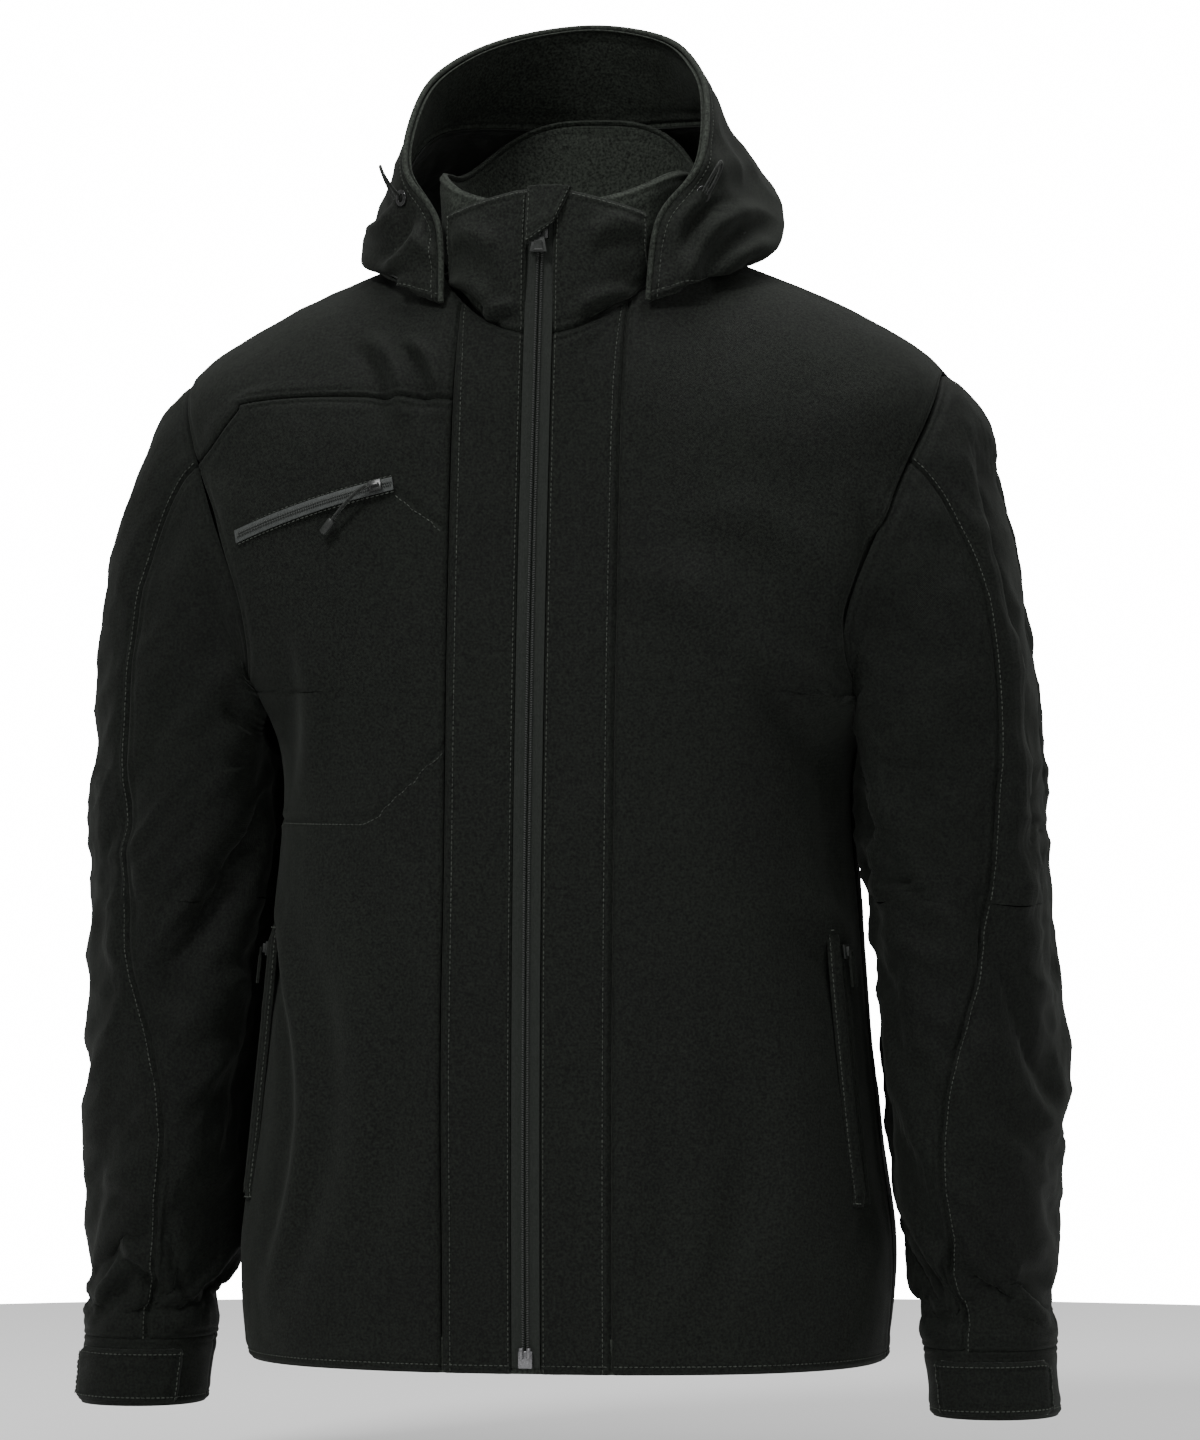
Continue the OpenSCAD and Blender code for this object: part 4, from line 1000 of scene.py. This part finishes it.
def build_hood():
    move = bending()
    parts = {"hood_side_right": (0, CROWN - STRIP, 62), "hood_centre": (CROWN - STRIP, CROWN + STRIP, 34),
             "hood_side_left": (CROWN + STRIP, 2 * CROWN, 62)}
    rows = []
    for node, (u0, u1, cols) in parts.items():
        cloth = lay_cloth(node + "_shell", hood_skin, constant(u0), constant(u1), (0, 2.97),
                          (300 if "side" in node else 120, 200, cols, 62), "hood", "lrb", HOOD_FOLDS,
                          hood_relief)
        settle(cloth, move, "hood_shell", node)
        edges = {"hood_side_right": "lrb", "hood_centre": "b", "hood_side_left": "lrb"}[node]
        rows += [seam_line(cloth, edge, STITCH_AT) for edge in edges]
    sewn = stitches("hood_stitches", rows, from_axis((0, 0.03, 0.02)))
    settle(sewn, move, "hood_shell")
    facing = lay_cloth("hood_facing_cloth", hood_skin, constant(0.02), constant(2 * CROWN - 0.02),
                       (0.01, 1.0), (700, 75, 150, 26), "facing", "bt", (), facing_relief,
                       depth=3.4, thick=0.8)
    settle(facing, move, "hood_shell", "hood_facing")
    lining = lay_cloth("hood_lining_cloth", hood_skin, constant(0.03), constant(2 * CROWN - 0.03),
                       (0.98, 2.95), (700, 150, 190, 80), "lining", "b", (), lining_relief,
                       depth=5.4, thick=0.8)
    settle(lining, move, "lining", "hood_lining")
    u = np.linspace(0.0, 2 * CROWN, 120)
    rim_out = hood_skin(u, np.zeros_like(u)) * MM
    inward = np.array([0, 0.02, 0.03]) - rim_out
    inward /= np.linalg.norm(inward, axis=1, keepdims=True)
    settle(tube("hood_rim_binding", rim_out + inward * 1.6 * MM, 2.0 * MM, "facing"), move, "hood_shell")


# ---- Sleeves --------------------------------------------------------------------------------

ELBOW_SPLIT = 1.88
CUFF_TOP = CUFF - 1
FRONT_SEAM = [(118,), (115,), (108,), (84,), (80,), (78,), (78,)]
BACK_SEAM = [(262,), (268,), (275,), (285,), (290,), (290,), (290,)]


def front_seam(v):
    return spline(FRONT_SEAM, v)[..., 0]


def back_seam(v):
    return spline(BACK_SEAM, v)[..., 0]


def build_sleeve(side):
    sign = SIDES[side]
    flip = sign < 0
    folds = LEFT_SLEEVE_FOLDS if sign > 0 else RIGHT_SLEEVE_FOLDS
    upper_move = bending()
    lower_move = bending()
    settled = crumpled_tube(
        "sleeve_sim_" + side, sleeve_skin, (0, CUFF_TOP), (64, 104), folds, sign)
    plain_folds = folds if settled is None else ()
    spans = {"upper": ((ELBOW_SPLIT, 0), upper_move, "upper_sleeve_", "upper_sleeve_lining_"),
             "lower": ((CUFF_TOP, ELBOW_SPLIT), lower_move, "forearm_", "forearm_lining_")}
    height, lines = 300, 110
    for part, (rows, move, node, lining_node) in spans.items():
        top = {"upper": "t", "lower": "b"}[part]
        outer = lay_cloth(f"{part}_sleeve_outer_{side}", sleeve_skin, front_seam, back_seam, rows,
                          (190, height, 66, lines), "sleeve", "lr" + top, plain_folds,
                          sleeve_relief, mirrored=flip, settled=settled, rim=False)
        inner = lay_cloth(f"{part}_sleeve_inner_{side}", sleeve_skin, back_seam,
                          lambda v: 360 + front_seam(v), rows, (220, height, 66, lines), "sleeve",
                          "lr" + top, plain_folds, sleeve_relief, mirrored=flip, settled=settled, rim=False)
        settle(outer, move, "sleeve_shell", node + side)
        settle(inner, move, "sleeve_shell", node + side)
        centre = (0.265 * sign, 0, -0.3)
        sewn = stitches(f"{part}_sleeve_stitches_{side}",
                        [seam_line(outer, "r" if flip else "l", 2.6)], from_axis(centre))
        settle(sewn, move, "sleeve_shell")
        inside = {"upper": (rows[0], rows[1] + 0.1), "lower": (rows[0] + 0.7, rows[1])}[part]
        lining = lay_cloth(f"{part}_sleeve_lining_{side}_cloth", sleeve_skin, constant(0), constant(360),
                           inside, (400, height, 60, 60), "lining", "", (), None, depth=7, thick=0.8,
                           mirrored=flip, settled=settled)
        settle(lining, move, "lining", lining_node + side)
    lower = on("lower_arm_" + side)
    band = lay_cloth(f"cuff_{side}_shell", sleeve_skin, constant(0), constant(360), (CUFF, CUFF_TOP - 0.06),
                     (280, 44, 90, 18), "sleeve", "bt", (),
                     lambda p, n: 0.8 * noise_field(p, (26, 26, 20), 15), depth=-0.4, thick=2.6,
                     mirrored=flip)
    settle(band, lower, "sleeve_shell", "cuff_" + side)
    settle(stitches(f"cuff_stitches_{side}", [seam_line(band, "b", STITCH_AT)],
                    from_axis((0.281 * sign, -0.016, -0.73))), lower, "sleeve_shell")
    return band


TAB_LEN, TAB_H = 86, 34


def build_cuff_tab(side):
    """The tab is sewn at the cuff's inner front, wraps its outside and closes on a patch of hook tape."""
    sign = SIDES[side]
    middle = CUFF - 0.5
    ahead, here = (sleeve_skin(np.array(a), np.array(middle)) for a in (46.0, 45.0))
    step = np.linalg.norm(ahead - here)
    half = TAB_H / CUFF_H / 2
    end = 45 + TAB_LEN / step

    def tab_skin(a, v):
        """Rows narrow to a rounded end."""
        t = (a - 45) / (end - 45)
        narrow = 1 - 0.22 * np.clip((t - 0.86) / 0.14, 0, 1) ** 2
        return sleeve_skin(a, middle + (v - middle) * narrow)

    tab = lay_cloth(f"cuff_tab_{side}_cloth", tab_skin, constant(45), constant(end),
                    (middle + half, middle - half), (TAB_LEN, TAB_H, 30, 10), "sleeve", "lrbt", (),
                    lambda p, n: 0.35 * noise_field(p, (20, 20, 14), 16), depth=-3.2, thick=1.5,
                    mirrored=sign < 0)
    move = on("tab_" + side)
    settle(tab, move, "sleeve_shell", "cuff_tab_" + side)
    around = from_axis((0.281 * sign, -0.016, -0.73))
    rows = [seam_line(tab, edge, 3.4) for edge in "lrbt"]
    settle(stitches(f"cuff_tab_stitches_{side}", rows, around), move, "sleeve_shell")
    patch_end = constant(45 + (TAB_LEN - 6) / step)
    patch = lay_cloth(f"cuff_patch_{side}_cloth", sleeve_skin, constant(53), patch_end,
                      (middle + half, middle - half), (TAB_LEN - 14, TAB_H, 24, 10), "hook", "", (), None,
                      depth=-1.3, thick=0.7, mirrored=sign < 0)
    settle(patch, on("lower_arm_" + side), "hook_tape", "cuff_patch_" + side)


# ---- Zips -----------------------------------------------------------------------------------

ZIP_LOW = 4 - LENGTH
ZIP_HIGH = COLLAR_TOP - 4
TOOTH_PITCH = 1.5
SMALL_PITCH = 1.3


def tape_skin(x, z):
    return np.stack([x, front_y(z), z], -1)


def tape_extra(points):
    """The coil's hump beside the centre, and two woven ribs near the sewn edge."""
    x = np.abs(points[..., 0]) / MM
    return 0.7 * bell(x - 1.6, 1.2) + 0.25 * bell(x - 5.2, 0.5) + 0.25 * bell(x - 6.8, 0.5)


def tooth_place(centre, across, out, along, tilt, sign):
    """A tooth lies across the zip, tilted a little so that the two sides make chevrons."""
    way = (across * math.cos(tilt) + along * math.sin(tilt) * sign).normalized()
    third = way.cross(out).normalized()
    turn = Matrix((way, out, third)).transposed().to_4x4()
    return Matrix.Translation(centre) @ turn @ Matrix.Diagonal((1.25, 0.75, 0.52, 1))


def build_main_zip():
    torso = on("torso")
    for side, sign in SIDES.items():
        x0, x1 = (0.12, TAPE_EDGE + 0.6) if sign > 0 else (-TAPE_EDGE - 0.6, -0.12)
        tape = lay_cloth("main_zip_tape_" + side + "_cloth", tape_skin, constant(x0), constant(x1),
                         (ZIP_LOW, ZIP_HIGH), (9, 740, 16, 500), "tape", extra=tape_extra, thick=0.8)
        settle(tape, torso, "zip_tape", "main_zip_tape_" + side)
    places = []
    for k in range(int((ZIP_HIGH - ZIP_LOW - 20) / TOOTH_PITCH)):
        z = ZIP_LOW + 12 + k * TOOTH_PITCH
        y = float(front_y(z))
        slope = (float(front_y(z + 1)) - y)
        along = Vector((0, slope, 1)).normalized()
        out = Vector((0, -1, slope)).normalized()
        for sign in (1, -1):
            shift = 0.25 * TOOTH_PITCH * sign
            spot = Vector((1.45 * sign, y, z)) * MM + out * 1.15 * MM + along * shift * MM
            places.append(tooth_place(spot, Vector((sign, 0, 0)), out, along, 0.35, 1))
    coil = beads("main_zip_teeth", places, "coil")
    settle(coil, torso, "zip_coil", "main_zip_coil")
    stops = bmesh.new()
    top = ZIP_HIGH - 2.5
    for sign in (1, -1):
        place = Matrix.Translation(Vector((1.9 * sign, float(front_y(top)) - 1.0, top)) * MM)
        bmesh.ops.create_cube(stops, size=1, matrix=place @ Matrix.Diagonal((2e-3, 1.8e-3, 4e-3, 1)))
    bmesh.ops.bevel(stops, geom=stops.edges[:], offset=0.3 * MM, segments=2, affect="EDGES", profile=0.5)
    settle(mesh_object("main_zip_top_stops", stops, "coil"), torso, "zip_coil")


def softened(node, width, look, slot, body):
    """A copy of a hard node with its edges rounded: the shape and place are the node's own."""
    bm = bmesh.new()
    bm.from_mesh(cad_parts[node].data)
    bmesh.ops.remove_doubles(bm, verts=bm.verts, dist=1e-6)
    bmesh.ops.dissolve_limit(bm, angle_limit=math.radians(1.5), verts=bm.verts, edges=bm.edges)
    sharp = [e for e in bm.edges if len(e.link_faces) == 2 and e.calc_face_angle(0) > math.radians(35)]
    bmesh.ops.bevel(bm, geom=sharp, offset=width * MM, offset_type="OFFSET", segments=2,
                    affect="EDGES", profile=0.5, material=-1, clamp_overlap=True)
    obj = mesh_object(node + "_rounded", bm, look)
    settle(obj, on(body), slot, node)
    return obj


def chest_frame():
    """The circle that the chest zip follows: its centre, its axis, its radius and its first spot."""
    spots = []
    for u, v in ((14.5, 7.3), (29.5, 6.76), (49, 6.24)):
        u, v = np.array([[float(u)]]), np.array([[float(v)]])
        du = body_skin(u + 0.5, v) - body_skin(u - 0.5, v)
        dv = body_skin(u, v + 0.02) - body_skin(u, v - 0.02)
        n = np.cross(du, dv)[0, 0]
        p = body_skin(u, v)[0, 0] + 2.2 * n / np.linalg.norm(n)
        spots.append(Vector((-p[0], p[1], p[2])))
    a, b = spots[0] - spots[1], spots[2] - spots[1]
    n = a.cross(b)
    centre = spots[1] + ((a.dot(a)) * b - (b.dot(b)) * a).cross(n) / (2 * n.dot(n))
    return centre, -n.normalized(), (spots[1] - centre).length, spots[0]


def build_chest_zip():
    centre, axis, radius, first = chest_frame()
    arm = (first - centre).normalized()
    places = []
    count = int(114 / SMALL_PITCH)
    for k in range(count):
        turn = Matrix.Rotation((1.2 + k * SMALL_PITCH) / radius, 3, axis)
        out = turn @ arm
        along = axis.cross(out).normalized()
        for sign in (1, -1):
            spot = centre + out * (radius + 1.15) + axis * sign * 1.0 + along * 0.25 * sign * SMALL_PITCH
            places.append(tooth_place(spot * MM, axis * sign, out, along, 0.35, 1)
                          @ Matrix.Diagonal((0.75, 0.9, 0.85, 1)))
    settle(beads("chest_zip_teeth", places, "coil"), on("torso"), "zip_coil", "chest_zip_coil")
    softened("chest_zip_tape", 0.2, "chest_tape", "zip_tape", "torso")
    softened("chest_zip_slider", 0.35, "metal", "zip_metal", "chest_slider")
    rows = []
    for edge in (-5.6, 5.6):
        turns = [Matrix.Rotation(t / radius, 3, axis) for t in range(-2, 119, 3)]
        rows.append(np.array([(centre + turn @ arm * (radius - 0.4) + axis * edge) * MM for turn in turns]))
    settle(stitches("chest_zip_stitches", rows, forwards), on("torso"), "shell")


HAND_U = 74


def welt_rise(k):
    return 3.6 * np.sin(np.pi / 2 * np.clip(k / 0.8, 0, 1)) * np.clip((1.15 - k) / 0.35, 0, 1) ** 0.5


def welt_skin(node_edge):
    """A raised lip beside the hand zip, folded back under itself at its outer edge."""
    low, high = 1.42, 3.0

    def skin(k, v):
        u = HAND_U - node_edge(k, v)
        point = body_skin(u, v)
        du = body_skin(u + 0.5, v) - body_skin(u - 0.5, v)
        dv = body_skin(u, v + 0.02) - body_skin(u, v - 0.02)
        n = np.cross(du, dv)
        n /= np.linalg.norm(n, axis=-1, keepdims=True)
        ends = np.clip(np.minimum(v - low, high - v) / 0.1, 0, 1)
        return point + n * (welt_rise(k) * ends + 0.6)[..., None]
    return skin


def build_hand_pockets():
    for side, sign in SIDES.items():
        def edge(k, v):
            per_degree = np.linalg.norm(body_skin(np.full_like(v, HAND_U + 1.0), v)
                                        - body_skin(np.full_like(v, float(HAND_U)), v), axis=-1)
            return mix(16.5, 5.2, k) / per_degree
        welt = lay_cloth(f"hand_welt_{side}_cloth", welt_skin(edge), constant(0), constant(1), (1.42, 3.0),
                         (12, 176, 14, 60), "shell", "l", (), None, thick=0.9, mirrored=sign < 0)
        settle(welt, on("torso"), "shell", "hand_welt_" + side)
        line = seam_line(welt, "r" if sign < 0 else "l", 1.8)
        bars = [np.linspace(line[i] + (-0.004, 0, 0), line[i] + (0.004, 0, 0), 8) for i in (1, -2)]
        settle(stitches(f"hand_stitches_{side}", [line], aslant), on("torso"), "shell")
        settle(stitches(f"hand_bartacks_{side}", bars, aslant, size=(0.6, 0.45),
                        pitch=0.9), on("torso"), "shell")
        softened("hand_zip_" + side, 0.2, "shell", "zip_tape", "torso")
        softened("hand_slider_" + side, 0.3, "rubber", "zip_metal", "hand_slider_body_" + side)
        softened("hand_puller_" + side, 0.35, "shell", "puller", "hand_puller_body_" + side)


def build_hardware():
    softened("main_zip_slider", 0.3, "metal", "zip_metal", "main_slider")
    softened("zip_retainer_box", 0.5, "retainer", "retainer", "torso")
    softened("hanger_loop", 0.3, "tape", "zip_tape", "torso")
    softened("hood_eyelets", 0.4, "eyelet", "eyelet", "hood")
    build_puller()
    build_garage()
    build_retainer_prongs()


def build_puller():
    """A moulded trapezoid with a raised frame round a sunk panel, on the pin of the slider."""
    softened("main_zip_puller", 0.35, "rubber", "puller", "main_puller")
    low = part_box("main_zip_puller")[0]
    bm = bmesh.new()
    bmesh.ops.create_cube(bm, size=1)
    half, drop = 3.4 * MM, 6.2 * MM
    middle = Vector((0, low[1] - 0.1 * MM, low[2] + 4.6 * MM))
    for vert in bm.verts:
        t = vert.co.z + 0.5
        vert.co = middle + Vector((vert.co.x * 2 * mix(half, half * 0.7, t), vert.co.y * 0.9 * MM,
                                   (t - 0.5) * drop))
    front = min(bm.faces, key=lambda f: f.calc_center_median().y)
    bmesh.ops.inset_region(bm, faces=[front], thickness=0.9 * MM, depth=0)
    bmesh.ops.translate(bm, verts=front.verts, vec=(0, 0.45 * MM, 0))
    bmesh.ops.bevel(bm, geom=list(bm.edges), offset=0.15 * MM, offset_type="OFFSET", segments=2,
                    affect="EDGES", profile=0.5, material=-1, clamp_overlap=True)
    settle(mesh_object("main_puller_frame", bm, "rubber"), on("main_puller"), "puller")


def build_retainer_prongs():
    """Two upright prongs below the retainer box, where the pin goes into it."""
    low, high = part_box("zip_retainer_box")
    bm = bmesh.new()
    for sign in (-1, 1):
        made = bmesh.ops.create_cone(bm, segments=12, radius1=1.1 * MM, radius2=1.4 * MM, depth=7 * MM,
                                     cap_ends=True)["verts"]
        bmesh.ops.translate(bm, verts=made, vec=(sign * 2.4 * MM, low[1] - 0.4 * MM, high[2] - 1.5 * MM))
    bmesh.ops.bevel(bm, geom=[e for e in bm.edges if e.calc_face_angle(0) > 1], offset=0.3 * MM,
                    offset_type="OFFSET", segments=2, affect="EDGES", profile=0.5, material=-1,
                    clamp_overlap=True)
    settle(mesh_object("retainer_prongs", bm, "retainer"), on("torso"), "retainer")


def build_garage():
    """A folded tab that hangs from the collar's top over the slider's head, cut away to one side."""
    def skin(k, v):
        x = mix(-9.5, mix(8.5, 20.5, v**0.8), k)
        z = mix(mix(-2, 11, k**1.3), COLLAR_TOP + 8.5 + 2 * k * (1 - k), v)
        forward = mix(10.2, 7.0, v**1.5) + 0.8 * np.sin(np.pi * k) - 1.5 * np.clip(np.abs(x) / 14, 0, 2) ** 2
        return np.stack([x, front_y(z) - forward, z], -1)

    tab = lay_cloth("zip_garage_cloth", skin, constant(0), constant(1), (0, 1), (26, 38, 18, 26), "collar",
                    "lrb", (), lambda p, n: 0.5 * noise_field(p, (14, 14, 14), 17), thick=1.3)
    lifted = bending()
    settle(tab, lifted, "shell", "zip_garage")
    settle(stitches("zip_garage_stitches", [seam_line(tab, edge, 2.2) for edge in "lrb"],
                    forwards), lifted, "shell")


# ---- Cords ----------------------------------------------------------------------------------

HOOD_ROUTE = [(99.6, -66.5, 32.9), (101.6, -69.5, 35.5), (105.6, -72.5, 41.5), (109.1, -72.5, 47.5),
              (111.1, -69.5, 51.5), (111.1, -66.5, 49), (108.6, -66, 42.5), (105.1, -66.5, 35.5),
              (102.2, -66.5, 30.5)]
CHEST_ROUTE = [(-107.2, -129.2, -155.8), (-110, -128.6, -157.2), (-115, -128.6, -160.8),
               (-120, -128.2, -165.6), (-124.5, -127.6, -170.6), (-129.9, -126.6, -177.3)]
HOOD_CORD_D, CHEST_CORD_D = 2.2, 2.4


def smooth_route(route, count):
    return spline(route, np.linspace(0, len(route) - 1, count)) * MM


def build_cords():
    for side, sign in SIDES.items():
        line = smooth_route(HOOD_ROUTE, 40) * (sign, 1, 1)
        cord = tube("hood_cord_" + side + "_elastic", line, HOOD_CORD_D / 2 * MM, "cord", 12)
        settle(cord, on("hood"), "cord", "hood_cord_" + side)
    line = smooth_route(CHEST_ROUTE, 30)
    cord = tube("chest_cord_elastic", line, CHEST_CORD_D / 2 * MM, "cord", 12)
    knot = softened("chest_knot", 0.9, "rubber", "puller", "chest_puller")
    settle(cord, on("chest_puller"), "cord", "chest_cord")


# ---- Stage ----------------------------------------------------------------------------------


FLOOR_R = 1.6
FLOOR_Z = -0.80


def build_stage():
    """A plain pale floor."""
    bm = bmesh.new()
    bmesh.ops.create_circle(bm, segments=96, radius=FLOOR_R, cap_ends=True)
    bmesh.ops.translate(bm, verts=bm.verts, vec=(0, 0, FLOOR_Z))
    mesh_object("floor", bm, "paper")

camera()
studio()
build_cords()
build_body()
build_collar()
build_hood()
for side in SIDES:
    build_sleeve(side)
    build_cuff_tab(side)
build_main_zip()
build_chest_zip()
build_hand_pockets()
build_hardware()
build_stage()
